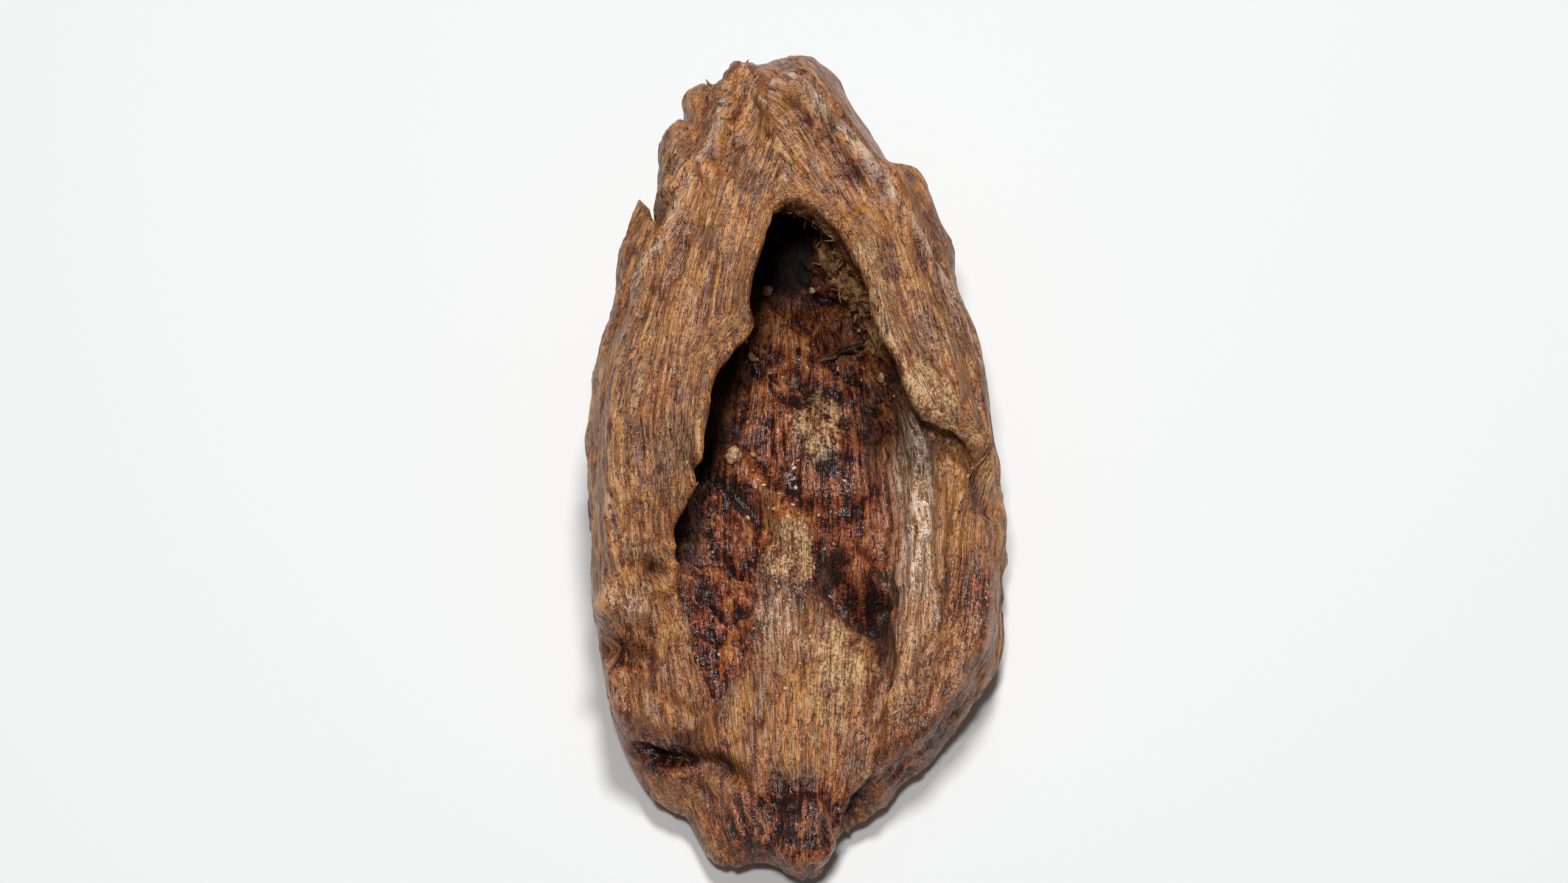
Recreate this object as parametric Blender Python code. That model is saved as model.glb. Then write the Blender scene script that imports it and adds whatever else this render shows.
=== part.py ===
"""A piece of agarwood: the hollow, resin-hardened shell of a knot, lying on its back.

One grown piece, so one object. The surface is a loft through closed contours. Each contour
runs once round the mouth of the hollow, and together they go from the middle of the
underside, up over the outer wall and the lip, and down inside to the middle of the floor.
A UV sphere is pulled onto that loft: its longitude is the clock angle round the mouth, and
its latitude is the way from the underside to the floor of the hollow.

Sizes are in millimetres. X is across, +Y points to the hooded end and +Z is up.
"""

import math

import bpy
import numpy as np

MM = 0.001
COLUMNS = 90  # facets round the mouth
ROWS = 60  # facets from the underside to the floor of the hollow

# Each point is (clock angle in degrees, x, y, z). The clock runs from the near tip at 0,
# through the right side at 90 and the hooded end at 180, to the left side at 270.
SIDE = [
    (0, 0.7, -39.8, 2.2),
    (6, 2.2, -39.0, 2.1),
    (13, 3.7, -36.1, 2.0),
    (20, 5.5, -34.6, 1.9),
    (28, 7.8, -32.6, 1.9),
    (36, 9.9, -30.2, 1.9),
    (42, 12.6, -27.6, 1.9),
    (48, 13.9, -25.6, 2.1),
    (55, 16.0, -22.6, 2.3),
    (63, 17.9, -19.4, 2.6),
    (73, 18.7, -14.9, 3.2),
    (84, 18.9, -9.8, 4.0),
    (91, 19.4, -6.9, 4.6),
    (100, 18.8, -0.7, 5.8),
    (113, 17.8, 7.5, 7.2),
    (125, 16.9, 15.1, 8.8),
    (134, 15.3, 20.1, 10.0),
    (142, 14.8, 24.0, 10.5),
    (149, 13.6, 27.5, 11.0),
    (154, 12.3, 31.0, 11.5),
    (160, 8.7, 32.2, 12.0),
    (163, 7.6, 34.3, 12.5),
    (167, 6.5, 36.3, 13.0),
    (170, 5.1, 38.7, 13.5),
    (173, 4.0, 40.8, 14.0),
    (176, 2.6, 42.1, 14.5),
    (180, 1.7, 42.7, 14.5),
    (184, -0.3, 42.6, 15.0),
    (191, -2.1, 41.6, 15.5),
    (195, -3.8, 40.2, 16.0),
    (203, -7.1, 38.6, 17.0),
    (207, -8.0, 37.8, 17.0),
    (211, -9.3, 38.2, 17.0),
    (215, -10.5, 37.1, 17.0),
    (218, -10.7, 35.9, 17.0),
    (220, -10.3, 34.5, 16.5),
    (223, -11.1, 34.0, 16.5),
    (227, -12.3, 33.3, 16.0),
    (230, -12.8, 32.0, 15.5),
    (233, -12.9, 28.3, 15.0),
    (235.5, -13.2, 22.4, 14.5),
    (238, -14.2, 23.0, 14.5),
    (239.6, -15.0, 25.9, 14.8),
    (241.2, -15.6, 23.4, 14.5),
    (245, -16.6, 20.6, 13.5),
    (254, -17.3, 15.4, 12.0),
    (262, -18.7, 9.9, 10.6),
    (270, -19.3, 4.3, 9.0),
    (280, -19.1, -2.4, 7.2),
    (290, -18.7, -8.3, 5.2),
    (297, -18.5, -12.4, 4.2),
    (304, -17.6, -16.5, 3.4),
    (311, -17.2, -20.2, 3.0),
    (317, -16.6, -23.7, 2.6),
    (322, -15.6, -26.4, 2.4),
    (327, -14.5, -28.8, 2.2),
    (332, -13.3, -31.2, 2.1),
    (336, -11.8, -32.8, 2.1),
    (340, -10.0, -33.7, 2.1),
    (344, -9.0, -35.1, 2.1),
    (348, -7.5, -37.9, 2.1),
    (352, -5.5, -38.7, 2.1),
    (356, -2.0, -38.7, 2.1),
]
CREST = [
    (0, 0.5, -39.3, 5.4),
    (6, 2.0, -38.4, 5.4),
    (13, 3.1, -36.0, 5.6),
    (20, 4.8, -34.2, 5.8),
    (28, 7.0, -32.2, 6.2),
    (36, 9.0, -30.0, 6.8),
    (42, 11.6, -27.8, 7.6),
    (48, 12.9, -26.0, 8.2),
    (55, 14.9, -23.2, 9.0),
    (63, 16.6, -20.2, 9.8),
    (73, 17.4, -15.6, 10.4),
    (84, 17.6, -10.0, 10.9),
    (91, 18.0, -6.6, 11.0),
    (100, 17.9, -1.6, 11.4),
    (106, 17.6, 2.0, 12.0),
    (120, 16.6, 9.7, 14.0),
    (130, 14.4, 14.5, 15.6),
    (140, 12.1, 18.2, 17.4),
    (150, 9.5, 21.8, 19.6),
    (158, 6.9, 25.1, 21.4),
    (166, 3.9, 28.8, 22.9),
    (173, 1.8, 30.4, 23.7),
    (179, -0.1, 32.0, 24.7),
    (187, -2.2, 30.6, 23.1),
    (195, -5.5, 36.1, 22.8),
    (203, -6.1, 32.4, 23.0),
    (212, -6.8, 29.2, 22.5),
    (221, -8.7, 25.9, 21.5),
    (230, -10.4, 22.6, 20.5),
    (238, -11.8, 17.6, 19.5),
    (246, -14.3, 15.3, 18.3),
    (254, -15.1, 11.0, 17.5),
    (262, -16.2, 6.5, 17.0),
    (270, -16.9, 1.7, 16.0),
    (280, -17.0, -4.0, 15.0),
    (290, -17.1, -9.7, 13.0),
    (297, -17.1, -14.0, 11.5),
    (304, -16.8, -18.0, 9.8),
    (311, -16.6, -21.8, 8.2),
    (317, -16.1, -24.8, 7.2),
    (322, -14.8, -27.0, 6.8),
    (327, -13.3, -28.5, 6.7),
    (332, -11.6, -29.5, 6.5),
    (338, -9.3, -30.4, 6.3),
    (343, -7.5, -31.2, 6.2),
    (348, -5.4, -34.0, 6.0),
    (353, -3.8, -37.0, 5.6),
    (357, -1.2, -39.0, 5.4),
]
LIP = [
    (0, 0.0, -33.5, 6.8),
    (15, 2.4, -32.5, 6.8),
    (28, 5.4, -29.5, 7.0),
    (42, 9.2, -25.2, 8.0),
    (55, 12.2, -20.5, 9.6),
    (63, 13.4, -18.0, 10.4),
    (73, 14.3, -14.2, 11.0),
    (84, 14.8, -9.4, 11.6),
    (91, 15.4, -6.2, 12.0),
    (97, 16.2, -3.0, 12.6),
    (103, 16.8, -1.0, 13.3),
    (108, 15.0, -0.2, 14.4),
    (112, 12.7, 1.3, 15.5),
    (120, 9.9, 6.5, 17.0),
    (130, 8.1, 11.0, 18.0),
    (140, 6.8, 15.5, 19.0),
    (150, 5.1, 18.7, 20.0),
    (158, 3.1, 21.0, 20.3),
    (166, 1.3, 22.1, 20.7),
    (180, -1.0, 22.4, 21.0),
    (195, -2.8, 20.6, 20.8),
    (203, -3.6, 18.7, 20.5),
    (221, -4.7, 14.1, 20.0),
    (230, -5.0, 11.6, 19.7),
    (238, -4.9, 8.6, 19.0),
    (246, -6.7, 6.3, 18.5),
    (254, -8.4, 3.8, 18.0),
    (262, -8.9, 0.2, 17.3),
    (270, -9.2, -3.6, 16.5),
    (280, -10.1, -6.7, 15.0),
    (290, -11.6, -9.5, 13.3),
    (297, -11.6, -12.0, 12.0),
    (304, -11.3, -14.6, 10.3),
    (311, -10.6, -17.0, 9.2),
    (318, -9.6, -19.6, 8.3),
    (325, -8.2, -22.4, 7.7),
    (332, -7.0, -25.0, 7.3),
    (338, -5.8, -27.0, 7.0),
    (345, -4.2, -29.6, 6.9),
    (352, -2.3, -32.2, 6.8),
]
INNER_WALL = [
    (0, 0.0, -28.0, 7.3),
    (28, 4.2, -25.5, 6.7),
    (42, 7.0, -21.5, 6.6),
    (55, 9.0, -17.8, 7.0),
    (63, 10.0, -15.5, 7.4),
    (73, 10.8, -12.6, 7.9),
    (84, 11.5, -8.6, 8.4),
    (91, 11.7, -5.2, 8.9),
    (100, 11.6, -0.5, 9.8),
    (108, 11.5, 3.6, 11.0),
    (120, 11.0, 9.1, 11.3),
    (140, 8.4, 15.8, 12.0),
    (158, 4.6, 21.4, 13.0),
    (180, 0.0, 29.5, 13.0),
    (203, -6.0, 26.0, 12.5),
    (221, -10.0, 20.0, 12.0),
    (238, -12.8, 13.0, 11.5),
    (254, -14.0, 6.0, 10.5),
    (270, -14.5, -1.5, 9.5),
    (290, -13.8, -8.0, 8.6),
    (300, -13.0, -12.4, 7.9),
    (311, -11.2, -16.6, 7.2),
    (325, -8.0, -21.0, 6.8),
    (338, -5.0, -24.5, 6.9),
    (350, -2.0, -27.3, 7.2),
]
FLOOR = [
    (0, 0.3, -20.0, 6.8),
    (30, 3.0, -18.5, 6.3),
    (60, 6.8, -11.5, 5.4),
    (90, 7.8, -2.0, 5.0),
    (120, 8.0, 8.0, 5.2),
    (150, 5.5, 17.0, 4.8),
    (180, 0.0, 22.0, 5.2),
    (210, -5.0, 17.0, 4.8),
    (240, -8.0, 9.0, 4.6),
    (270, -9.0, -3.0, 4.8),
    (300, -7.5, -11.5, 5.2),
    (330, -4.0, -18.0, 6.3),
]
FOOT_CENTRE = (0.0, -1.0, -0.5)  # the flat spot is where the loft dips under zero
FLOOR_CENTRE = (0.0, 0.0, 4.6)
FOOT_RADII = (7.5, 20.0)
FOOT_DIP = -0.4
BILGE_SHARE = 0.84  # of the side's plan, where the underside turns up
BILGE_HEIGHT = 2.4  # at most
BILGE_RISE = 0.5  # of the side's height, where that is less
LIP_TURN = (0.12, 0.12, 0.3)  # share of the way from the lip to the inner wall where it has rounded
CROWN = 0.12  # how far the top of the wall bulges, as a share of its width

# Ridges and grooves on the surface: (height, half width, power, path). A negative height is a groove.
# Power 2 is round, 4 is flat-topped, and with power 1 two planes meet in a crease.
STROKES = {
    "edge of the peak": (
        0.5, 1.6, 1,
        [(-0.4, 32.3, 24.8), (1.0, 32.1, 24.8)],
    ),
    "left edge of the front peak": (
        0.9, 1.5, 1,
        [(-0.4, 32.3, 24.8), (-1.9, 30.8, 24.4), (-3.4, 28.6, 23.6), (-4.8, 26.0, 23.0)],
    ),
    "valley between horn and peak": (
        -1.5, 1.3, 2,
        [(-2.9, 34.5, 24.0), (-3.9, 31.4, 23.8), (-5.0, 28.6, 23.2), (-6.2, 25.2, 22.6)],
    ),
    "notch behind the hood": (
        -1.6, 1.1, 2,
        [(-7.0, 36.5, 19.5), (-6.9, 34.4, 21.6)],
    ),
    "dip on the left wall": (
        -1.0, 2.3, 1,
        [(-8.6, 33.0, 20.5), (-9.6, 28.0, 21.0), (-11.4, 23.0, 20.4), (-13.0, 19.5, 19.0)],
    ),
    "crease along the lip": (
        0.8, 1.9, 1,
        [(7.0, 20.4, 20.4), (9.0, 18.3, 19.4), (11.2, 15.8, 18.2), (12.9, 11.6, 17.0),
         (14.5, 6.7, 15.9), (15.9, 2.2, 14.4), (16.6, -0.8, 13.2)],
    ),
    "furrow on the right": (
        -1.1, 2.3, 1,
        [(10.2, 29.0, 15.8), (12.0, 24.5, 15.0), (13.4, 20.8, 14.6), (15.0, 15.9, 13.6),
         (16.2, 10.0, 13.0)],
    ),
    "groove under the flap": (
        -1.3, 0.9, 2,
        [(11.6, 3.9, 11.5), (11.4, 1.7, 11.0), (12.2, -1.2, 10.0), (12.7, -3.9, 9.3),
         (12.4, -7.4, 8.9)],
    ),
    "step below the flap": (
        -1.6, 1.9, 1,
        [(13.2, 0.6, 13.6), (14.8, -0.4, 13.2), (16.6, -3.4, 12.4), (17.8, -6.4, 11.0)],
    ),
    "block on the flap": (
        0.9, 1.4, 4,
        [(12.9, 4.4, 16.4), (14.0, 1.8, 15.8)],
    ),
    "cut across the flap": (
        -0.9, 0.5, 2,
        [(12.2, 6.1, 17.0), (14.8, 5.6, 16.2)],
    ),
    "groove beside the tongue": (
        -1.9, 1.9, 1,
        [(7.4, -16.2, 5.8), (8.4, -19.0, 5.9), (8.7, -22.0, 6.2), (8.0, -25.6, 6.3),
         (7.2, -29.0, 6.0), (6.0, -32.4, 5.4), (5.4, -35.0, 4.2)],
    ),
    "ridge beside the tongue": (
        0.9, 0.8, 2,
        [(10.0, -17.0, 7.2), (10.2, -21.5, 7.4), (9.2, -26.0, 7.4), (8.2, -29.5, 7.0)],
    ),
    "crease on the near right": (
        -1.0, 1.7, 1,
        [(13.0, -15.0, 10.0), (13.4, -20.0, 9.0), (12.0, -25.0, 8.0)],
    ),
    "ledge on the left": (
        0.9, 1.1, 2,
        [(-16.8, -16.5, 9.8), (-14.8, -17.4, 10.9), (-12.6, -18.6, 10.6)],
    ),
    "notch below the ledge": (
        -2.3, 1.7, 1,
        [(-17.4, -19.6, 8.4), (-16.2, -20.9, 9.4), (-14.0, -21.6, 9.8)],
    ),
    "lump on the left": (
        1.5, 1.8, 4,
        [(-14.6, -25.4, 8.2), (-12.6, -26.8, 8.6), (-10.0, -27.8, 8.0)],
    ),
    "step on the left": (
        -2.1, 0.9, 2,
        [(-13.8, -28.8, 5.4), (-11.6, -30.1, 5.9), (-9.3, -30.8, 6.9), (-6.9, -30.9, 6.6),
         (-5.3, -32.0, 6.6)],
    ),
    "valley on the left": (
        -0.9, 2.7, 1,
        [(-10.9, -14.7, 6.7), (-9.7, -18.8, 7.0), (-8.0, -22.6, 6.9), (-6.0, -27.0, 6.8)],
    ),
    "cut in the left wall": (
        -1.2, 1.3, 1,
        [(-16.3, -12.0, 10.8), (-14.4, -13.4, 12.0), (-12.6, -14.0, 11.8)],
    ),
    "knob on the floor": (
        2.9, 1.9, 4,
        [(5.2, -9.4, 5.2), (6.2, -11.8, 5.8)],
    ),
    "edge of the knob": (
        0.9, 1.7, 1,
        [(6.4, -8.8, 7.6), (7.4, -12.6, 7.4)],
    ),
    "pit below the knob": (
        -1.7, 1.0, 2,
        [(5.8, -15.2, 5.6), (7.0, -15.1, 5.6), (8.2, -13.8, 5.8)],
    ),
    "gap beside the knob": (
        -0.9, 1.5, 1,
        [(2.6, -8.0, 5.4), (3.0, -11.5, 5.6), (4.2, -14.6, 5.6)],
    ),
    "mound on the floor": (
        1.5, 2.8, 2,
        [(0.6, 8.6, 4.4), (3.2, 3.6, 4.8)],
    ),
    "hole in the mound": (
        -1.2, 0.6, 2,
        [(2.9, 3.2, 6.0), (3.7, 2.9, 6.0)],
    ),
    "slanting ridge on the floor": (
        1.6, 2.3, 1,
        [(-6.2, 2.4, 4.2), (-4.9, 1.3, 4.6), (-3.3, -0.4, 5.0), (-1.6, -3.0, 5.4),
         (-0.2, -5.8, 5.6)],
    ),
    "slanting groove on the floor": (
        -1.3, 1.7, 1,
        [(-7.0, 0.2, 4.2), (-5.7, -0.9, 4.4), (-4.2, -2.6, 4.8), (-2.4, -5.2, 5.2)],
    ),
    "second slanting ridge": (
        0.9, 1.5, 1,
        [(-5.6, -3.6, 4.6), (-4.0, -6.8, 5.0), (-2.6, -8.8, 5.4)],
    ),
    "ridge in the cave": (
        1.2, 1.9, 1,
        [(-4.6, 21.0, 5.4), (-1.2, 18.6, 5.2), (1.2, 15.0, 4.8), (3.8, 12.6, 5.0)],
    ),
    "groove in the cave": (
        -1.0, 1.5, 1,
        [(-3.4, 15.6, 4.6), (-0.6, 13.2, 4.6), (2.2, 10.8, 4.8)],
    ),
    "groove beside the mound": (
        -1.2, 1.7, 1,
        [(2.6, 20.5, 6.4), (4.4, 16.0, 5.8), (6.4, 11.0, 5.4), (7.2, 6.0, 5.2)],
    ),
    "lump at the near tip": (
        1.3, 2.0, 4,
        [(0.8, -36.5, 6.2), (0.8, -38.8, 5.6)],
    ),
    "left crease at the tip": (
        -0.9, 1.5, 1,
        [(-2.6, -35.4, 6.8), (-2.4, -38.0, 6.2)],
    ),
    "right crease at the tip": (
        -0.8, 1.3, 1,
        [(3.6, -34.8, 6.0), (3.4, -37.4, 5.6)],
    ),
}
# Folds: (clock angle, height on the crest, depth of the dip outside it, height on the lip).
FOLDS = [
    (0, 0.2, 0.0, 0.1),
    (40, 0.5, 0.0, 0.15),
    (60, 0.4, 0.0, 0.2),
    (90, 0.3, 0.0, 0.3),
    (108, 0.3, 0.2, 0.5),
    (120, 0.6, 0.6, 0.5),
    (140, 1.0, 1.2, 0.4),
    (158, 1.2, 1.8, 0.5),
    (172, 1.1, 2.6, 0.5),
    (180, 1.3, 2.8, 0.5),
    (187, 0.8, 2.0, 0.5),
    (195, 0.5, 0.2, 0.5),
    (205, 1.2, 0.2, 0.5),
    (215, 1.3, 0.6, 0.5),
    (230, 1.3, 1.2, 0.5),
    (245, 0.9, 0.8, 0.5),
    (262, 0.5, 0.2, 0.5),
    (290, 0.5, 0.0, 0.4),
    (304, 0.6, 0.0, 0.3),
    (325, 0.6, 0.0, 0.15),
    (345, 0.3, 0.0, 0.1),
]
CREST_FOLD_WIDTH = 1.7  # to where the fold has died away, on each side
DIP_WIDTH = 2.1
LIP_FOLD_WIDTH = 1.0
DIP_PLACE = -2.8  # along the surface from the crest, outwards
ROW_SHARES = (0.38, 0.56)  # of the rows, where the crest and the lip lie
GRAIN_HEIGHT = 0.25  # of the ribs that run along the piece
GRAIN_SIZE = (3.2, 15.0, 3.2)  # their spacing across, along and up
MIDDLE = (0.0, 1.0)  # of the outline, moved to the origin


def around(clock, points):
    """The contour through the points, at each clock angle: cubic pieces with slopes taken
    from the neighbours, closed at 360 degrees."""
    table = np.array(points, float)
    keys = np.concatenate([table[-2:, 0] - 360, table[:, 0], table[:3, 0] + 360])
    values = np.concatenate([table[-2:, 1:], table[:, 1:], table[:3, 1:]])
    gap = np.diff(keys)[:, None]
    slope = np.diff(values, axis=0) / gap
    tangent = np.zeros_like(values)
    tangent[1:-1] = (slope[:-1] * gap[1:] + slope[1:] * gap[:-1]) / (gap[1:] + gap[:-1])
    i = np.searchsorted(keys, clock, side="right") - 1
    h = gap[i]
    u = ((clock - keys[i]) / h[:, 0])[:, None]
    return (
        (2 * u**3 - 3 * u**2 + 1) * values[i]
        + (u**3 - 2 * u**2 + u) * h * tangent[i]
        + (3 * u**2 - 2 * u**3) * values[i + 1]
        + (u**3 - u**2) * h * tangent[i + 1]
    )


def contours(clock):
    """All contours from the underside to the floor, as an array of contour, column, xyz."""
    turn = np.radians(clock)
    side = around(clock, SIDE)
    crest = around(clock, CREST)
    lip = around(clock, LIP)
    inner = around(clock, INNER_WALL)
    floor = around(clock, FLOOR)
    foot = np.stack(
        [
            FOOT_CENTRE[0] + FOOT_RADII[0] * np.sin(turn),
            FOOT_CENTRE[1] - FOOT_RADII[1] * np.cos(turn),
            np.full_like(turn, FOOT_DIP),
        ],
        axis=-1,
    )
    smooth_side = sum(around((clock + step) % 360, SIDE) for step in (-18, -9, 0, 9, 18)) / 5
    bilge = smooth_side * (BILGE_SHARE, BILGE_SHARE, BILGE_RISE)
    bilge[:, 2] = np.minimum(bilge[:, 2], BILGE_HEIGHT)
    away_from_hood = 1 - np.exp(-(((clock - 180) / 45) ** 2))
    width = np.linalg.norm(lip - crest, axis=1)
    top = (crest + lip) / 2
    top[:, 2] += CROWN * width * away_from_hood
    under_lip = lip + (inner - lip) * LIP_TURN
    start = np.broadcast_to(FOOT_CENTRE, foot.shape)
    end = np.broadcast_to(FLOOR_CENTRE, foot.shape)
    return np.stack([start, foot, bilge, side, crest, top, lip, under_lip, inner, floor, end])


def loft(rings, samples=16):
    """Smooth lines through the contours, one for each column, finely sampled. A line's knots
    are spaced by the square root of the distance, which keeps short steps from looping."""
    opposite = np.roll(rings, rings.shape[1] // 2, axis=1)
    line = np.concatenate([opposite[1:2], rings, opposite[-2:-1]])
    gap = np.sqrt(np.linalg.norm(np.diff(line, axis=0), axis=2))[..., None] + 1e-6
    slope = np.diff(line, axis=0) / gap
    tangent = (slope[:-1] * gap[1:] + slope[1:] * gap[:-1]) / (gap[1:] + gap[:-1])
    u = (np.arange(samples) / samples)[None, :, None, None]
    a, b = line[1:-2, None], line[2:-1, None]
    ta, tb, h = tangent[:-1, None], tangent[1:, None], gap[1:-1, None]
    dense = (
        (2 * u**3 - 3 * u**2 + 1) * a
        + (u**3 - 2 * u**2 + u) * h * ta
        + (3 * u**2 - 2 * u**3) * b
        + (u**3 - u**2) * h * tb
    )
    dense = dense.reshape(-1, *rings.shape[1:])
    return np.concatenate([dense, rings[-1:]])


def shared_rows(dense, rows, samples=16):
    """The same lines with one row on the crest and one on the lip and the others spread evenly
    between, and how far each point lies from the crest and from the lip, inwards."""
    step = np.linalg.norm(np.diff(dense, axis=0), axis=2)
    travelled = np.concatenate([np.zeros((1, step.shape[1])), np.cumsum(step, axis=0)])
    from_crest = travelled - travelled[4 * samples]
    from_lip = travelled - travelled[6 * samples]
    share = np.zeros_like(travelled)
    stops = (0, 4 * samples, 6 * samples, len(travelled) - 1)
    lows = (0, *ROW_SHARES)
    highs = (*ROW_SHARES, 1)
    for first, last, low, high in zip(stops[:-1], stops[1:], lows, highs):
        part = travelled[first : last + 1] - travelled[first]
        share[first : last + 1] = low + (high - low) * part / part[-1]
    fields = (dense[..., 0], dense[..., 1], dense[..., 2], from_crest, from_lip)
    wanted = np.linspace(0, 1, rows + 1)
    spread = np.empty((rows + 1, dense.shape[1], len(fields)))
    for column in range(dense.shape[1]):
        for index, field in enumerate(fields):
            spread[:, column, index] = np.interp(wanted, share[:, column], field[:, column])
    return spread[..., :3], spread[..., 3], spread[..., 4]


def tent(distance, width):
    """One at no distance, falling in a straight line to nothing at the width."""
    return np.clip(1 - np.abs(distance) / width, 0, 1)


def noise(points, seed):
    """Smooth noise from -1 to 1, one cell to a unit: blended values hashed from a lattice."""
    base = np.floor(points)
    part = points - base
    weight = part * part * (3 - 2 * part)
    base = base.astype(np.int64)
    total = np.zeros(points.shape[:-1])
    for corner in np.ndindex(2, 2, 2):
        cell = base + corner
        key = cell[..., 0] * 1619 + cell[..., 1] * 31337 + cell[..., 2] * 6971 + seed * 1013
        key = (key << 13) ^ key
        key = (key * (key * key * 15731 + 789221) + 1376312589) & 0x7FFFFFFF
        blend = np.where(corner, weight, 1 - weight).prod(axis=-1)
        total += blend * (key / 0x40000000 - 1)
    return total


def distance_to(points, path):
    """Distance of each point from a line through the given places."""
    path = np.array(path)
    best = np.full(points.shape[:-1], np.inf)
    for a, b in zip(path[:-1], path[1:]):
        along = np.clip(((points - a) @ (b - a)) / ((b - a) @ (b - a)), 0, 1)
        best = np.minimum(best, np.linalg.norm(points - a - along[..., None] * (b - a), axis=-1))
    return best


def outwards(grid):
    """Unit normals of the grid, facing out of the wood."""
    padded = np.concatenate([grid[:, -1:], grid, grid[:, :1]], axis=1)
    across = padded[:, 2:] - padded[:, :-2]
    along = np.gradient(grid, axis=0)
    normal = np.cross(across, along)
    normal[0] = (0, 0, -1)
    normal[-1] = (0, 0, 1)
    return normal / np.linalg.norm(normal, axis=-1, keepdims=True)


def surface(columns, rows):
    """Points of the piece, as an array of row, column, xyz in millimetres."""
    clock = np.arange(columns) * 360 / columns
    grid, from_crest, from_lip = shared_rows(loft(contours(clock)), rows)
    normal = outwards(grid)
    height = np.zeros(grid.shape[:-1])
    for size, width, power, path in STROKES.values():
        distance = distance_to(grid, path)
        if power == 1:
            height += size * tent(distance, width)
        else:
            height += size * np.exp(-((distance / width) ** power))
    folds = np.array(FOLDS)
    crest, dip, lip = (np.interp(clock, folds[:, 0], folds[:, k], period=360) for k in (1, 2, 3))
    height += crest * tent(from_crest, CREST_FOLD_WIDTH)
    height -= dip * tent(from_crest - DIP_PLACE, DIP_WIDTH)
    height += lip * tent(from_lip, LIP_FOLD_WIDTH)
    ribs = 1 - 2 * np.abs(noise(grid / GRAIN_SIZE, 3))
    ribs += 0.5 * noise(grid / np.multiply(GRAIN_SIZE, 0.6), 8)
    height += GRAIN_HEIGHT * ribs * np.clip(grid[..., 2] / 2, 0, 1)
    grid += normal * height[..., None]
    grid[..., 2] = np.maximum(grid[..., 2], 0)
    grid[..., :2] -= MIDDLE
    return grid


def make_piece():
    """A UV sphere whose points are moved onto the loft by their longitude and latitude."""
    bpy.ops.mesh.primitive_uv_sphere_add(segments=COLUMNS, ring_count=ROWS, radius=1)
    piece = bpy.context.object
    piece.name = piece.data.name = "agarwood_shell"
    points = np.empty(len(piece.data.vertices) * 3)
    piece.data.vertices.foreach_get("co", points)
    points = points.reshape(-1, 3)
    row = np.rint(np.degrees(np.arccos(np.clip(-points[:, 2], -1, 1))) / 180 * ROWS)
    # Seen from above, the mouth's clock turns the same way as the sphere's longitude.
    turn = np.arctan2(points[:, 0], -points[:, 1]) / (2 * math.pi) * COLUMNS
    column = np.rint(turn) % COLUMNS
    grid = surface(COLUMNS, ROWS)
    placed = grid[row.astype(int), column.astype(int)] * MM
    piece.data.vertices.foreach_set("co", placed.ravel())
    piece.data.shade_smooth()
    piece.data.update()
    return piece


def wood():
    """Brown resinous wood, a little glossy."""
    material = bpy.data.materials.new("resin_wood")
    material.use_nodes = True
    shader = material.node_tree.nodes["Principled BSDF"]
    shader.inputs["Base Color"].default_value = (0.27, 0.13, 0.065, 1)
    shader.inputs["Roughness"].default_value = 0.5
    shader.inputs["Metallic"].default_value = 0.0
    return material


def main():
    for old in list(bpy.data.objects):
        bpy.data.objects.remove(old)
    piece = make_piece()
    piece.data.materials.append(wood())
    group = bpy.data.collections.new("agarwood_piece")
    bpy.context.scene.collection.children.link(group)
    for linked in list(piece.users_collection):
        linked.objects.unlink(piece)
    group.objects.link(piece)


main()
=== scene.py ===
import math

import bpy
import numpy as np
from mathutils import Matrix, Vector


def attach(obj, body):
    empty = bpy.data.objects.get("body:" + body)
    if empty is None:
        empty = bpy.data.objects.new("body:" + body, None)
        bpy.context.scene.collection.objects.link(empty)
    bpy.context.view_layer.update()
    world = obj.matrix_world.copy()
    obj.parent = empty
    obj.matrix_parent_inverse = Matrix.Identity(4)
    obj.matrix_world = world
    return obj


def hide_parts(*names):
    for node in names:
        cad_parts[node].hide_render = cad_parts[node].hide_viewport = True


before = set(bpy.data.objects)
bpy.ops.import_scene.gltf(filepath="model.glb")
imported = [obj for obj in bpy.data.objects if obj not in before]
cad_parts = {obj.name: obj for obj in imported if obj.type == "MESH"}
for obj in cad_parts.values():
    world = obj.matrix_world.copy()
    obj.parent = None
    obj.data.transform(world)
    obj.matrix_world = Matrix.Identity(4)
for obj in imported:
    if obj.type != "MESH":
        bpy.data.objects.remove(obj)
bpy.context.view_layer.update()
mm = 0.001


def noiseField(points, seed):
    # smooth noise from -1 to 1: hashed values on a unit lattice, blended by 3w^2 - 2w^3
    base = np.floor(points)
    part = points - base
    weight = part * part * (3 - 2 * part)
    base = base.astype(np.int64)
    total = np.zeros(points.shape[:-1])
    for corner in np.ndindex(2, 2, 2):
        cell = base + corner
        key = cell[..., 0] * 1619 + cell[..., 1] * 31337 + cell[..., 2] * 6971 + seed * 1013
        key = (key << 13) ^ key
        key = (key * (key * key * 15731 + 789221) + 1376312589) & 0x7FFFFFFF
        total += np.where(corner, weight, 1 - weight).prod(axis=-1) * (key / 0x40000000 - 1)
    return total


def ridged(points, seed):
    # sharp crests where the noise crosses zero: 1 - 2|noise|
    return 1 - 2 * np.abs(noiseField(points, seed))


def smoothStep(value, low, high):
    # 3w^2 - 2w^3, where w goes from 0 to 1 between low and high
    part = np.clip((value - low) / (high - low), 0, 1)
    return part * part * (3 - 2 * part)


def tent(distance, width):
    # one at no distance, falling in a straight line to nothing at the width
    return np.clip(1 - np.abs(distance) / width, 0, 1)


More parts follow.
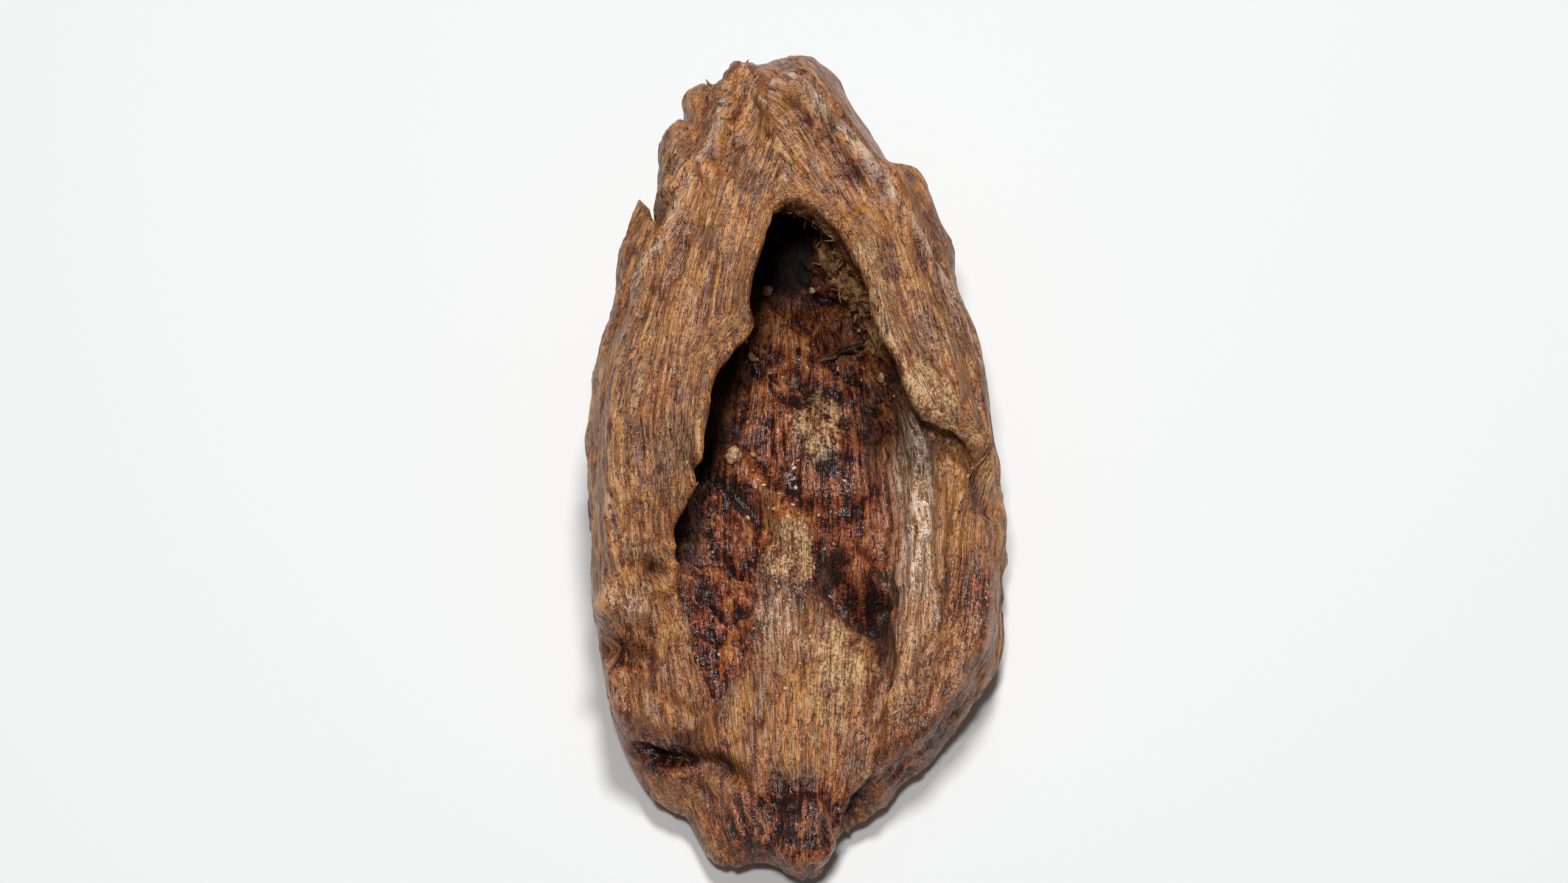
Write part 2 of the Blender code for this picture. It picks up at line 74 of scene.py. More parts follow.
def clockSpan(clock, start, full, fading, end):
    # one from full to fading, nothing before the start and after the end
    return smoothStep(clock, start, full) * (1 - smoothStep(clock, fading, end))


def distanceTo(points, path):
    # least distance from each point to the straight pieces of a path
    path = np.array(path, float)
    best = np.full(points.shape[:-1], np.inf)
    for a, b in zip(path[:-1], path[1:]):
        along = np.clip(((points - a) @ (b - a)) / ((b - a) @ (b - a)), 0, 1)
        best = np.minimum(best, np.linalg.norm(points - a - along[..., None] * (b - a), axis=-1))
    return best


def blobs(points, places):
    # sum of soft ellipsoids: amount * exp(-(offset / radii)^2)
    total = np.zeros(points.shape[:-1])
    for centre, radii, amount in places:
        total += amount * np.exp(-(((points - centre) / radii) ** 2).sum(axis=-1))
    return total


# millimetres; each contour point is (clock angle round the mouth, x, y, z),
# with the near tip at 0 and the right side at 90
shell = {
    "columns": 452,
    "rows": 220,
    "quickSize": (220, 112),
    "samples": 24,
    "lowerCare": 0.45,
    "rowShares": (80 / 220, 122 / 220),
    "middle": (0.0, 1.0, 0.0),
    "side": [
        (0, 0.7, -39.8, 2.2), (6, 2.2, -39.0, 2.1), (13, 3.7, -36.1, 2.0), (20, 5.5, -34.6, 1.9),
        (28, 7.8, -32.6, 1.9), (36, 9.9, -30.2, 1.9), (42, 12.6, -27.6, 1.9), (48, 13.9, -25.6, 2.1),
        (55, 16, -22.6, 2.3), (63, 17.9, -19.4, 2.6), (73, 18.7, -14.9, 3.2), (84, 18.9, -9.8, 4.0),
        (91, 19.4, -6.9, 4.6), (100, 18.8, -0.7, 5.8), (113, 17.8, 7.5, 7.2), (125, 16.9, 15.1, 8.8),
        (134, 15.3, 20.1, 10), (142, 14.8, 24, 10.5), (149, 13.6, 27.5, 11), (154, 12.3, 31, 11.5),
        (160, 8.7, 32.2, 12), (163, 7.6, 34.3, 12.5), (167, 6.5, 36.3, 13), (170, 5.1, 38.7, 13.5),
        (173, 4, 40.8, 14), (176, 2.6, 42.1, 14.5), (180, 1.7, 42.7, 14.5), (184, -0.3, 42.6, 15),
        (191, -2.1, 41.6, 15.5), (195, -3.8, 40.2, 16), (203, -7.1, 38.6, 17), (207, -8, 37.8, 17),
        (211, -9.3, 38.2, 17), (215, -10.5, 37.1, 17), (218, -10.7, 35.9, 17), (220, -10.3, 34.5, 16.5),
        (223, -11.1, 34, 16.5), (227, -12.3, 33.3, 16), (230, -12.8, 32, 15.5), (233, -12.9, 28.3, 15),
        (235.5, -13.2, 22.4, 14.5), (238, -14.2, 23.0, 14.5), (239.6, -15.0, 25.9, 14.8),
        (241.2, -15.6, 23.4, 14.5), (245, -16.6, 20.6, 13.5), (254, -17.3, 15.4, 12.0),
        (262, -18.7, 9.9, 10.6), (270, -19.3, 4.3, 9.0), (280, -19.1, -2.4, 7.2),
        (290, -18.7, -8.3, 5.2), (297, -18.5, -12.4, 4.2), (304, -17.6, -16.5, 3.4),
        (311, -17.2, -20.2, 3.0), (317, -16.6, -23.7, 2.6), (322, -15.6, -26.4, 2.4),
        (327, -14.5, -28.8, 2.2), (332, -13.3, -31.2, 2.1), (336, -11.8, -32.8, 2.1),
        (340, -10, -33.7, 2.1), (344, -9, -35.1, 2.1), (348, -7.5, -37.9, 2.1), (352, -5.5, -38.7, 2.1),
        (356, -2, -38.7, 2.1),
    ],
    "crest": [
        (0, 0.5, -39.3, 5.4), (6, 2, -38.4, 5.4), (13, 3.1, -36, 5.6), (20, 4.8, -34.2, 5.8),
        (28, 7, -32.2, 6.2), (36, 9, -30, 6.8), (42, 11.6, -27.8, 7.6), (48, 12.9, -26, 8.2),
        (55, 14.9, -23.2, 9), (63, 16.6, -20.2, 9.8), (73, 17.4, -15.6, 10.4), (84, 17.6, -10, 10.9),
        (91, 18, -6.6, 11), (100, 17.9, -1.6, 11.4), (106, 17.6, 2, 12), (120, 16.6, 9.7, 14),
        (130, 14.4, 14.5, 15.6), (140, 12.1, 18.2, 17.4), (150, 9.5, 21.8, 19.6), (158, 6.9, 25.1, 21.4),
        (166, 3.9, 28.8, 22.9), (173, 1.8, 30.4, 23.8), (179, -0.1, 32.0, 24.6), (187, -2.2, 30.6, 23.3),
        (195, -5.5, 36.1, 22.8), (203, -6.1, 32.4, 23), (212, -6.8, 29.2, 22.5), (221, -8.7, 25.9, 21.5),
        (230, -10.4, 22.6, 20.5), (238, -11.8, 17.6, 19.5), (246, -14.3, 15.3, 18.3),
        (254, -15.1, 11, 17.5), (262, -16.2, 6.5, 17), (270, -16.9, 1.7, 16), (280, -17, -4, 15),
        (290, -17.1, -9.7, 13), (297, -17.1, -14, 11.5), (304, -16.8, -18, 9.8),
        (311, -16.6, -21.8, 8.2), (317, -16.1, -24.8, 7.2), (322, -14.8, -27, 6.8),
        (327, -13.3, -28.5, 6.7), (332, -11.6, -29.5, 6.5), (338, -9.3, -30.4, 6.3),
        (343, -7.5, -31.2, 6.2), (348, -5.4, -34, 6), (353, -3.8, -37, 5.6), (357, -1.2, -39, 5.4),
    ],
    "lip": [
        (0, 0, -33.5, 6.8), (15, 2.4, -32.5, 6.8), (28, 5.4, -29.5, 7), (42, 9.2, -25.2, 8),
        (55, 12.2, -20.5, 9.6), (63, 13.4, -18, 10.4), (73, 14.3, -14.2, 11), (84, 14.8, -9.4, 11.6),
        (91, 15.4, -6.2, 12), (97, 16.2, -3, 12.6), (103, 16.8, -1, 13.3), (108, 15, -0.2, 14.4),
        (112, 12.7, 1.3, 15.5), (120, 9.9, 6.5, 17), (130, 8.1, 11, 18), (140, 6.8, 15.5, 19),
        (150, 5.1, 18.7, 20), (158, 3.1, 21, 20.3), (166, 1.3, 22.1, 20.7), (180, -1, 22.4, 21),
        (195, -2.8, 20.6, 20.8), (203, -3.6, 18.7, 20.5), (221, -4.7, 14.1, 20), (230, -5, 11.6, 19.7),
        (238, -4.9, 8.6, 19), (246, -6.7, 6.3, 18.5), (254, -8.4, 3.8, 18), (262, -8.9, 0.2, 17.3),
        (270, -9.2, -3.6, 16.5), (280, -10.1, -6.7, 15), (290, -11.6, -9.5, 13.3), (297, -11.6, -12, 12),
        (304, -11.3, -14.6, 10.3), (311, -10.6, -17, 9.2), (318, -9.6, -19.6, 8.3),
        (325, -8.2, -22.4, 7.7), (332, -7, -25, 7.3), (338, -5.8, -27, 7), (345, -4.2, -29.6, 6.9),
        (352, -2.3, -32.2, 6.8),
    ],
    "innerWall": [
        (0, 0, -28, 7.3), (28, 4.2, -25.5, 6.7), (42, 7, -21.5, 6.6), (55, 9, -17.8, 7),
        (63, 10, -15.5, 7.4), (73, 10.8, -12.6, 7.9), (84, 11.5, -8.6, 8.4), (91, 11.7, -5.2, 8.9),
        (100, 11.6, -0.5, 9.8), (108, 11.5, 3.6, 11), (120, 11, 9.1, 11.3), (140, 8.4, 15.8, 12),
        (158, 4.6, 21.4, 13), (180, 0, 29.5, 13), (203, -6, 26, 12.5), (221, -10, 20, 12),
        (238, -12.8, 13, 11.5), (254, -14, 6, 10.5), (270, -14.5, -1.5, 9.5), (290, -13.8, -8, 8.6),
        (300, -13, -12.4, 7.9), (311, -11.2, -16.6, 7.2), (325, -8, -21, 6.8), (338, -5, -24.5, 6.9),
        (350, -2, -27.3, 7.2),
    ],
    "floor": [
        (0, 0.3, -20, 6.8), (30, 3, -18.5, 6.3), (60, 6.8, -11.5, 5.4), (90, 7.8, -2, 5),
        (120, 8, 8, 5.2), (150, 5.5, 17, 4.8), (180, 0, 22, 5.2), (210, -5, 17, 4.8), (240, -8, 9, 4.6),
        (270, -9, -3, 4.8), (300, -7.5, -11.5, 5.2), (330, -4, -18, 6.3),
    ],
    "footCentre": (0.0, -1.0, -0.5),
    "footRadii": (7.5, 20.0),
    "footDip": -0.4,
    "bilgeShare": 0.84,
    "bilgeHeight": 2.4,
    "bilgeRise": 0.5,
    "lipTurn": (0.12, 0.12, 0.3),
    "crown": 0.12,
    "floorCentre": (0.0, 0.0, 4.6),
    # height, half width, power, path: height * exp(-(distance / width)^power),
    # but height * (1 - distance / width) for power 1, so that planes meet in a crease
    "strokes": [
        # the hood: edges of the front peak, valley beside the horn, notch at the far edge, dip on the left
        (0.5, 1.6, 1, [(-0.4, 32.3, 24.8), (1.0, 32.1, 24.8)]),
        (0.9, 1.5, 1, [(-0.4, 32.3, 24.8), (-1.9, 30.8, 24.4), (-3.4, 28.6, 23.6), (-4.8, 26.0, 23.0)]),
        (-1.5, 1.3, 2, [(-2.9, 34.5, 24.0), (-3.9, 31.4, 23.8), (-5.0, 28.6, 23.2), (-6.2, 25.2, 22.6)]),
        (-1.6, 1.1, 2, [(-7, 36.5, 19.5), (-6.9, 34.4, 21.6)]),
        (-1.0, 2.3, 1, [(-8.6, 33.0, 20.5), (-9.6, 28.0, 21.0), (-11.4, 23.0, 20.4),
            (-13.0, 19.5, 19.0)]),
        # the far right: crease along the lip and the furrow below it
        (0.8, 1.9, 1, [(7.0, 20.4, 20.4), (9.0, 18.3, 19.4), (11.2, 15.8, 18.2), (12.9, 11.6, 17.0),
            (14.5, 6.7, 15.9), (15.9, 2.2, 14.4), (16.6, -0.8, 13.2)]),
        (-1.1, 2.3, 1, [(10.2, 29, 15.8), (12, 24.5, 15), (13.4, 20.8, 14.6), (15, 15.9, 13.6),
            (16.2, 10, 13)]),
        # the flap: groove under it, step below it, block on its end
        (-1.3, 0.9, 2, [(11.6, 3.9, 11.5), (11.4, 1.7, 11.0), (12.2, -1.2, 10.0), (12.7, -3.9, 9.3),
            (12.4, -7.4, 8.9)]),
        (-1.6, 1.9, 1, [(13.2, 0.6, 13.6), (14.8, -0.4, 13.2), (16.6, -3.4, 12.4), (17.8, -6.4, 11.0)]),
        (0.9, 1.4, 4, [(12.9, 4.4, 16.4), (14.0, 1.8, 15.8)]),
        (-0.9, 0.5, 2, [(12.2, 6.1, 17.0), (14.8, 5.6, 16.2)]),
        # the near right: long groove beside the tongue
        (-1.9, 1.9, 1, [(7.4, -16.2, 5.8), (8.4, -19.0, 5.9), (8.7, -22.0, 6.2), (8.0, -25.6, 6.3),
            (7.2, -29.0, 6.0), (6.0, -32.4, 5.4), (5.4, -35.0, 4.2)]),
        (0.9, 0.8, 2, [(10.0, -17.0, 7.2), (10.2, -21.5, 7.4), (9.2, -26.0, 7.4), (8.2, -29.5, 7.0)]),
        (-1.0, 1.7, 1, [(13.0, -15.0, 10.0), (13.4, -20.0, 9.0), (12.0, -25.0, 8.0)]),
        # the near left: ledge, notch, step and lump
        (0.9, 1.1, 2, [(-16.8, -16.5, 9.8), (-14.8, -17.4, 10.9), (-12.6, -18.6, 10.6)]),
        (-2.3, 1.7, 1, [(-17.4, -19.6, 8.4), (-16.2, -20.9, 9.4), (-14.0, -21.6, 9.8)]),
        (1.5, 1.8, 4, [(-14.6, -25.4, 8.2), (-12.6, -26.8, 8.6), (-10.0, -27.8, 8.0)]),
        (-2.1, 0.9, 2, [(-13.8, -28.8, 5.4), (-11.6, -30.1, 5.9), (-9.3, -30.8, 6.9), (-6.9, -30.9, 6.6),
            (-5.3, -32.0, 6.6)]),
        (-0.9, 2.7, 1, [(-10.9, -14.7, 6.7), (-9.7, -18.8, 7), (-8, -22.6, 6.9), (-6, -27, 6.8)]),
        (-1.2, 1.3, 1, [(-16.3, -12.0, 10.8), (-14.4, -13.4, 12.0), (-12.6, -14.0, 11.8)]),
        # the floor: knob and pit, mound and its hole, slanting ridge and groove
        (2.9, 1.9, 4, [(5.2, -9.4, 5.2), (6.2, -11.8, 5.8)]),
        (0.9, 1.7, 1, [(6.4, -8.8, 7.6), (7.4, -12.6, 7.4)]),
        (-1.7, 1.0, 2, [(5.8, -15.2, 5.6), (7.0, -15.1, 5.6), (8.2, -13.8, 5.8)]),
        (-0.9, 1.5, 1, [(2.6, -8.0, 5.4), (3.0, -11.5, 5.6), (4.2, -14.6, 5.6)]),
        (1.5, 2.8, 2, [(0.6, 8.6, 4.4), (3.2, 3.6, 4.8)]),
        (-1.2, 0.6, 2, [(2.9, 3.2, 6.0), (3.7, 2.9, 6.0)]),
        (1.6, 2.3, 1, [(-6.2, 2.4, 4.2), (-4.9, 1.3, 4.6), (-3.3, -0.4, 5.0), (-1.6, -3.0, 5.4),
            (-0.2, -5.8, 5.6)]),
        (-1.3, 1.7, 1, [(-7.0, 0.2, 4.2), (-5.7, -0.9, 4.4), (-4.2, -2.6, 4.8), (-2.4, -5.2, 5.2)]),
        (0.9, 1.5, 1, [(-5.6, -3.6, 4.6), (-4.0, -6.8, 5.0), (-2.6, -8.8, 5.4)]),
        (1.2, 1.9, 1, [(-4.6, 21.0, 5.4), (-1.2, 18.6, 5.2), (1.2, 15.0, 4.8), (3.8, 12.6, 5.0)]),
        (-1.0, 1.5, 1, [(-3.4, 15.6, 4.6), (-0.6, 13.2, 4.6), (2.2, 10.8, 4.8)]),
        (-1.2, 1.7, 1, [(2.6, 20.5, 6.4), (4.4, 16.0, 5.8), (6.4, 11.0, 5.4), (7.2, 6.0, 5.2)]),
        # the near tip
        (1.3, 2.0, 4, [(0.8, -36.5, 6.2), (0.8, -38.8, 5.6)]),
        (-0.9, 1.5, 1, [(-2.6, -35.4, 6.8), (-2.4, -38.0, 6.2)]),
        (-0.8, 1.3, 1, [(3.6, -34.8, 6.0), (3.4, -37.4, 5.6)]),
    ],
    # clock, height of the fold on the crest, depth of the dip outside it, height of the fold on the lip
    "folds": [
        (0, 0.2, 0.0, 0.10), (40, 0.5, 0.0, 0.15), (60, 0.4, 0.0, 0.2), (90, 0.3, 0.0, 0.3),
        (108, 0.3, 0.2, 0.5), (120, 0.6, 0.6, 0.5), (140, 1.0, 1.2, 0.4), (158, 1.2, 1.8, 0.5),
        (172, 1.3, 3.4, 0.5), (180, 1.5, 3.8, 0.5), (187, 1.0, 3.0, 0.5), (195, 0.5, 0.2, 0.5),
        (205, 1.2, 0.2, 0.5), (215, 1.3, 0.6, 0.5), (230, 1.3, 1.2, 0.5), (245, 0.9, 0.8, 0.5),
        (262, 0.5, 0.2, 0.5), (290, 0.5, 0.0, 0.4), (304, 0.6, 0.0, 0.3), (325, 0.6, 0.0, 0.15),
        (345, 0.3, 0.0, 0.1),
    ],
    "foldWidths": (1.6, 1.9, 1.0),
    "dipPlace": -2.5,
    "cavePath": [(2.4, 23.6, 18.0), (4.2, 23.6, 13.0), (5.8, 20.0, 11.0), (7.6, 16.4, 8.6)],
    "caveRadius": 3.6,
    "ribHeight": 0.24,
    "ribSize": (3.2, 15.0, 3.2),
}


def contourAt(clock, table):
    # closed curve through a table's points: cubic pieces whose slopes come from both neighbours
    table = np.array(table, float)
    keys = np.concatenate([table[-2:, 0] - 360, table[:, 0], table[:3, 0] + 360])
    values = np.concatenate([table[-2:, 1:], table[:, 1:], table[:3, 1:]])
    gap = np.diff(keys)[:, None]
    slope = np.diff(values, axis=0) / gap
    tangent = np.zeros_like(values)
    tangent[1:-1] = (slope[:-1] * gap[1:] + slope[1:] * gap[:-1]) / (gap[1:] + gap[:-1])
    i = np.searchsorted(keys, clock, side="right") - 1
    h = gap[i]
    u = ((clock - keys[i]) / h[:, 0])[:, None]
    return ((2 * u**3 - 3 * u**2 + 1) * values[i] + (u**3 - 2 * u**2 + u) * h * tangent[i]
            + (3 * u**2 - 2 * u**3) * values[i + 1] + (u**3 - u**2) * h * tangent[i + 1])


def shellContours(clock):
    # contours from the middle of the underside, over the lip, to the middle of the hollow's floor
    turn = np.radians(clock)
    names = ("side", "crest", "lip", "innerWall", "floor")
    side, crest, lip, inner, floor = (contourAt(clock, shell[name]) for name in names)
    centre, radii = shell["footCentre"], shell["footRadii"]
    foot = np.stack([centre[0] + radii[0] * np.sin(turn), centre[1] - radii[1] * np.cos(turn),
                     np.full_like(turn, shell["footDip"])], axis=-1)
    smoothSide = sum(contourAt((clock + step) % 360, shell["side"]) for step in (-18, -9, 0, 9, 18)) / 5
    bilge = smoothSide * (shell["bilgeShare"], shell["bilgeShare"], shell["bilgeRise"])
    bilge[:, 2] = np.minimum(bilge[:, 2], shell["bilgeHeight"])
    awayFromHood = 1 - np.exp(-(((clock - 180) / 45) ** 2))
    top = (crest + lip) / 2
    top[:, 2] += shell["crown"] * np.linalg.norm(lip - crest, axis=1) * awayFromHood
    underLip = lip + (inner - lip) * shell["lipTurn"]
    start = np.broadcast_to(centre, foot.shape)
    end = np.broadcast_to(shell["floorCentre"], foot.shape)
    return np.stack([start, foot, bilge, side, crest, top, lip, underLip, inner, floor, end])


def loftLines(rings, samples):
    # one smooth line per column through the contours, knots spaced by the root of their distance
    opposite = np.roll(rings, rings.shape[1] // 2, axis=1)
    line = np.concatenate([opposite[1:2], rings, opposite[-2:-1]])
    gap = np.sqrt(np.linalg.norm(np.diff(line, axis=0), axis=2))[..., None] + 1e-6
    slope = np.diff(line, axis=0) / gap
    tangent = (slope[:-1] * gap[1:] + slope[1:] * gap[:-1]) / (gap[1:] + gap[:-1])
    u = (np.arange(samples) / samples)[None, :, None, None]
    a, b = line[1:-2, None], line[2:-1, None]
    ta, tb, h = tangent[:-1, None], tangent[1:, None], gap[1:-1, None]
    dense = ((2 * u**3 - 3 * u**2 + 1) * a + (u**3 - 2 * u**2 + u) * h * ta
             + (3 * u**2 - 2 * u**3) * b + (u**3 - u**2) * h * tb)
    return np.concatenate([dense.reshape(-1, *rings.shape[1:]), rings[-1:]])


def shellGrid(columns, rows):
    # points by row and column, and how far each lies from the lip and from the crest along its line,
    # where plus is inwards
    samples = shell["samples"]
    clock = np.arange(columns) * 360 / columns
    dense = loftLines(shellContours(clock), samples)
    step = np.linalg.norm(np.diff(dense, axis=0), axis=2)
    travelled = np.concatenate([np.zeros((1, columns)), np.cumsum(step, axis=0)])
    fromLip, fromCrest = travelled - travelled[6 * samples], travelled - travelled[4 * samples]
    # coarser rows below
    care = np.where(np.arange(len(step)) < 2 * samples, shell["lowerCare"], 1.0)[:, None]
    weighted = np.concatenate([np.zeros((1, columns)), np.cumsum(step * care, axis=0)])
    # one row lies on the crest and one on the lip; between them the rows are even
    share = np.zeros_like(weighted)
    stops = (0, 4 * samples, 6 * samples, len(weighted) - 1)
    shares = (0, *shell["rowShares"], 1)
    for first, last, low, high in zip(stops[:-1], stops[1:], shares[:-1], shares[1:]):
        part = (weighted[first:last + 1] - weighted[first]) / (weighted[last] - weighted[first])
        share[first:last + 1] = low + (high - low) * part
    offset = 2.0 * np.arange(columns)[:, None]  # every column in one rising list, so one interpolation does
    keys = (share.T + offset).ravel()
    wanted = (np.linspace(0, 1, rows + 1)[None, :] + offset).ravel()
    spread = [np.interp(wanted, keys, field.T.ravel()).reshape(columns, rows + 1).T
              for field in (dense[..., 0], dense[..., 1], dense[..., 2], fromLip, fromCrest)]
    return np.stack(spread[:3], axis=-1), spread[3], spread[4], clock


def gridNormals(grid):
    # cross product of the steps round and along the grid
    padded = np.concatenate([grid[:, -1:], grid, grid[:, :1]], axis=1)
    normal = np.cross(padded[:, 2:] - padded[:, :-2], np.gradient(grid, axis=0))
    normal[0], normal[-1] = (0, 0, -1), (0, 0, 1)
    return normal / np.maximum(np.linalg.norm(normal, axis=-1, keepdims=True), 1e-9)


# how the surface is worked: heights in millimetres
relief = {
    "grooveHeight": 0.20, "grooveSize": (0.95, 12.0),
    "fineHeight": 0.11, "fineSize": (0.52, 5.0),
    "ledgeHeight": 0.45, "ledgeSize": (3.2, 16.0),
    "lumpHeight": 0.14, "lumpSize": 2.8,
    "gnarlHeight": 0.85, "gnarlSize": (2.9, 1.25, 2.0),
    "swellHeight": 0.80, "swellSize": (3.2, 5.0, 3.2),
    "pitHeight": 0.40, "pitSize": 1.2,
    "hollowResin": 0.95,
    "flakeHeight": 0.95, "flakeSize": (1.1, 3.0),
    "jagHeight": 0.55, "jagSize": 1.3,
    "chevronPlace": (-1.0, 22.4), "chevronWidth": 0.25, "chevronSlopes": ((0.84, 0.54), (-0.96, 0.27)),
    "hoodRise": 0.15, "edgeStrength": 0.9, "edgeWidth": 0.3,
    # clock angles: start, full, fading, end
    "hoodSpan": (138, 165, 205, 235), "bevelSpan": (100, 112, 140, 160), "jagSpan": (190, 205, 238, 250),
    "farReach": 48.0, "nearReach": 46.0, "leastWidth": 0.45, "wallRise": 6.0,
    "waveHeight": (0.35, 0.06), "waveSize": (11.0, 3.0),
}

# places of colour, in millimetres: centre, radii, amount
zones = {
    "resin": [
        ((-1, 20, 6), (8, 9, 5), 1.3), ((-8.4, -4, 5), (2.8, 13, 4), 1.0),
        ((-7.5, -20.3, 6.5), (2.0, 5, 3), 0.9), ((3, 13, 5), (6, 4, 3), 0.7),
        ((9.0, 8, 7), (2.4, 6, 4), 0.9), ((5.8, -11.2, 7), (2.8, 3.8, 3), 1.1),
        ((-5, -14, 6), (3.4, 8, 3), 0.95), ((2.4, 5.5, 6), (3.2, 5.0, 3), -0.9),
        ((-0.4, -8.0, 5.5), (2.8, 4, 3), -0.7), ((4, -22, 7), (4, 6, 3), -0.5),
        ((0.8, -37.5, 5.5), (4.5, 5, 4), 1.2), ((-15.6, -17.5, 10), (2.2, 2.6, 3), 0.7),
        ((-16.5, -21, 8.5), (2.2, 2.0, 3), 0.8), ((-12, -30, 6), (5, 2.5, 2.5), 0.9),
        ((16.0, -14, 9.5), (4.0, 8, 5), 0.85), ((12.5, -27, 6), (5, 5, 4), 0.75),
        ((-3, -36, 5), (10, 4.5, 4), 0.7), ((-15, -27, 6), (3, 4, 4), 0.6),
        ((9.5, -31, 5), (4, 4, 4), 0.5), ((-17, -8, 9), (2.5, 5, 4), 0.35),
        ((13.5, 3, 15.5), (2.4, 2.4, 2), 0.4),
    ],
    "pale": [
        ((12.5, 2, 16), (3, 4, 2.5), 0.45), ((2.0, 5.8, 6), (2.8, 3.8, 3), 1.3),
        ((3.4, 9.5, 5.5), (1.8, 2.2, 3), 0.5), ((-0.4, -8.2, 5.5), (2.6, 3.8, 3), 1.2),
        ((4.2, -20.0, 7), (3.6, 5.5, 3), 0.85), ((1.5, -28, 7), (4, 4, 3), 0.35),
        ((-11.5, -26.5, 9), (4, 2.5, 2), 0.35), ((-9, 0, 18), (1.5, 5, 2), 0.3),
        ((9.6, -23, 7.5), (1.4, 6, 2), 0.5), ((-12.6, 18.5, 19.5), (2.2, 2.2, 2.5), 0.5),
        ((-11, -12, 14), (1.6, 2, 2), 0.4),
    ],
    # painted shade: near-black in the cave under the hood, beside the lips' feet, under the flap, in the pit
    # below the knob and in the groove beside the tongue
    "shade": [
        ((-2.6, 25.6, 9), (4.6, 4.4, 9), 2.5), ((4.8, 16.1, 5), (2.4, 2.6, 3), 0.6),
        ((-6.7, 12.8, 5), (2.6, 2.6, 3), 0.8), ((7.5, 4.4, 5.5), (1.3, 6, 3), 0.75),
        ((-9.2, 9, 6), (2.6, 9, 6), 1.0), ((-10.2, -6, 5), (1.5, 7, 4), 0.6),
        ((-6.0, 4.8, 4.8), (2.0, 1.8, 3), 0.45), ((-2.8, -1.8, 4.8), (1.2, 1.6, 2), 0.5),
        ((7.4, -15.0, 5), (1.6, 1.2, 1.4), 0.8), ((2.9, -10.6, 5.4), (0.8, 3.0, 1.6), 0.7),
        ((8.7, -20.5, 5.6), (0.7, 4, 2), 0.8), ((9.8, 8, 11), (1.5, 6, 3), 0.6),
    ],
    # grey with painted sheen: the right inner wall and small spots, brightened and streaked with painted
    # glints
    "greyAndSheen": [
        ((11.0, 0, 10), (1.8, 6, 3), 0.95), ((11.4, -9, 8.6), (1.9, 9, 3), 1.0),
        ((-1.6, -16, 6.4), (1.8, 4, 3), 0.6), ((-15.4, -16.8, 10.5), (1.4, 1.4, 1.4), 0.5),
    ],
    "amber": [
        ((-2.3, 17.2, 5), (1.3, 4.0, 3), 1.0), ((-2.8, 11.2, 5), (4.2, 1.8, 3), 0.7),
        ((1.0, 12.6, 5), (2.0, 1.8, 3), 0.5), ((-1.6, -2.0, 5), (3.0, 1.8, 3), 0.7),
        ((-4.6, 0.8, 5), (2.0, 1.2, 3), 0.6), ((5.6, -10.0, 7.5), (1.2, 2.0, 1.5), 0.5),
        ((-6.5, -13.5, 6), (1.6, 4.0, 3), 0.4), ((0.8, -38.5, 5.5), (3, 3, 3), 0.6),
        ((-13.5, -28.5, 7), (3, 2, 2), 0.5), ((-6, -36, 6), (4, 2.5, 3), 0.5),
        ((13, -20, 9), (2, 6, 3), 0.4),
    ],
}


def fibreFields(grid, fromLip):
    # two sets of coordinates whose second axis runs with the fibre: (x / narrowing, y, z - rise) for the
    # whole piece, and for the hood the larger distance past two slanting lines, rounded where they meet,
    # in place of x, with little change upwards
    x, y, z = grid[..., 0], grid[..., 1], grid[..., 2]
    far, near = np.clip(y, 0, 48) / relief["farReach"], np.clip(-y, 0, 43) / relief["nearReach"]
    narrowing = np.maximum((1 - far**1.4) * np.sqrt(1 - near**2), relief["leastWidth"])
    rise = relief["wallRise"] * (np.clip(y + 35, 0, None) / 35) ** 1.3 * smoothStep(-fromLip, -1, 3)
    waves = zip(relief["waveHeight"], relief["waveSize"])
    bend = sum(height * noiseField(grid / size, 51) for height, size in waves)
    px, py = x - relief["chevronPlace"][0], y - relief["chevronPlace"][1]
    right, left = (slope[0] * px + slope[1] * py for slope in relief["chevronSlopes"])
    steep = (right + left + np.sqrt((right - left) ** 2 + relief["chevronWidth"] ** 2)) / 2
    whole = np.stack([x / narrowing + bend, y, z - rise], axis=-1)
    return whole, np.stack([steep + bend, y, relief["hoodRise"] * z], axis=-1)


def ledges(points, seed):
    # shingled layers: a rising ramp that drops sharply where the warped distance passes a whole number
    phase = points[..., 0] + 1.4 * noiseField(points * (0.5, 1, 1), seed)
    part = phase - np.floor(phase)
    strength = 0.5 + 0.5 * noiseField(points * (0.7, 0.7, 1) + 9.5, seed + 1)
    return (part - smoothStep(part, 0.86, 1.0)) * strength


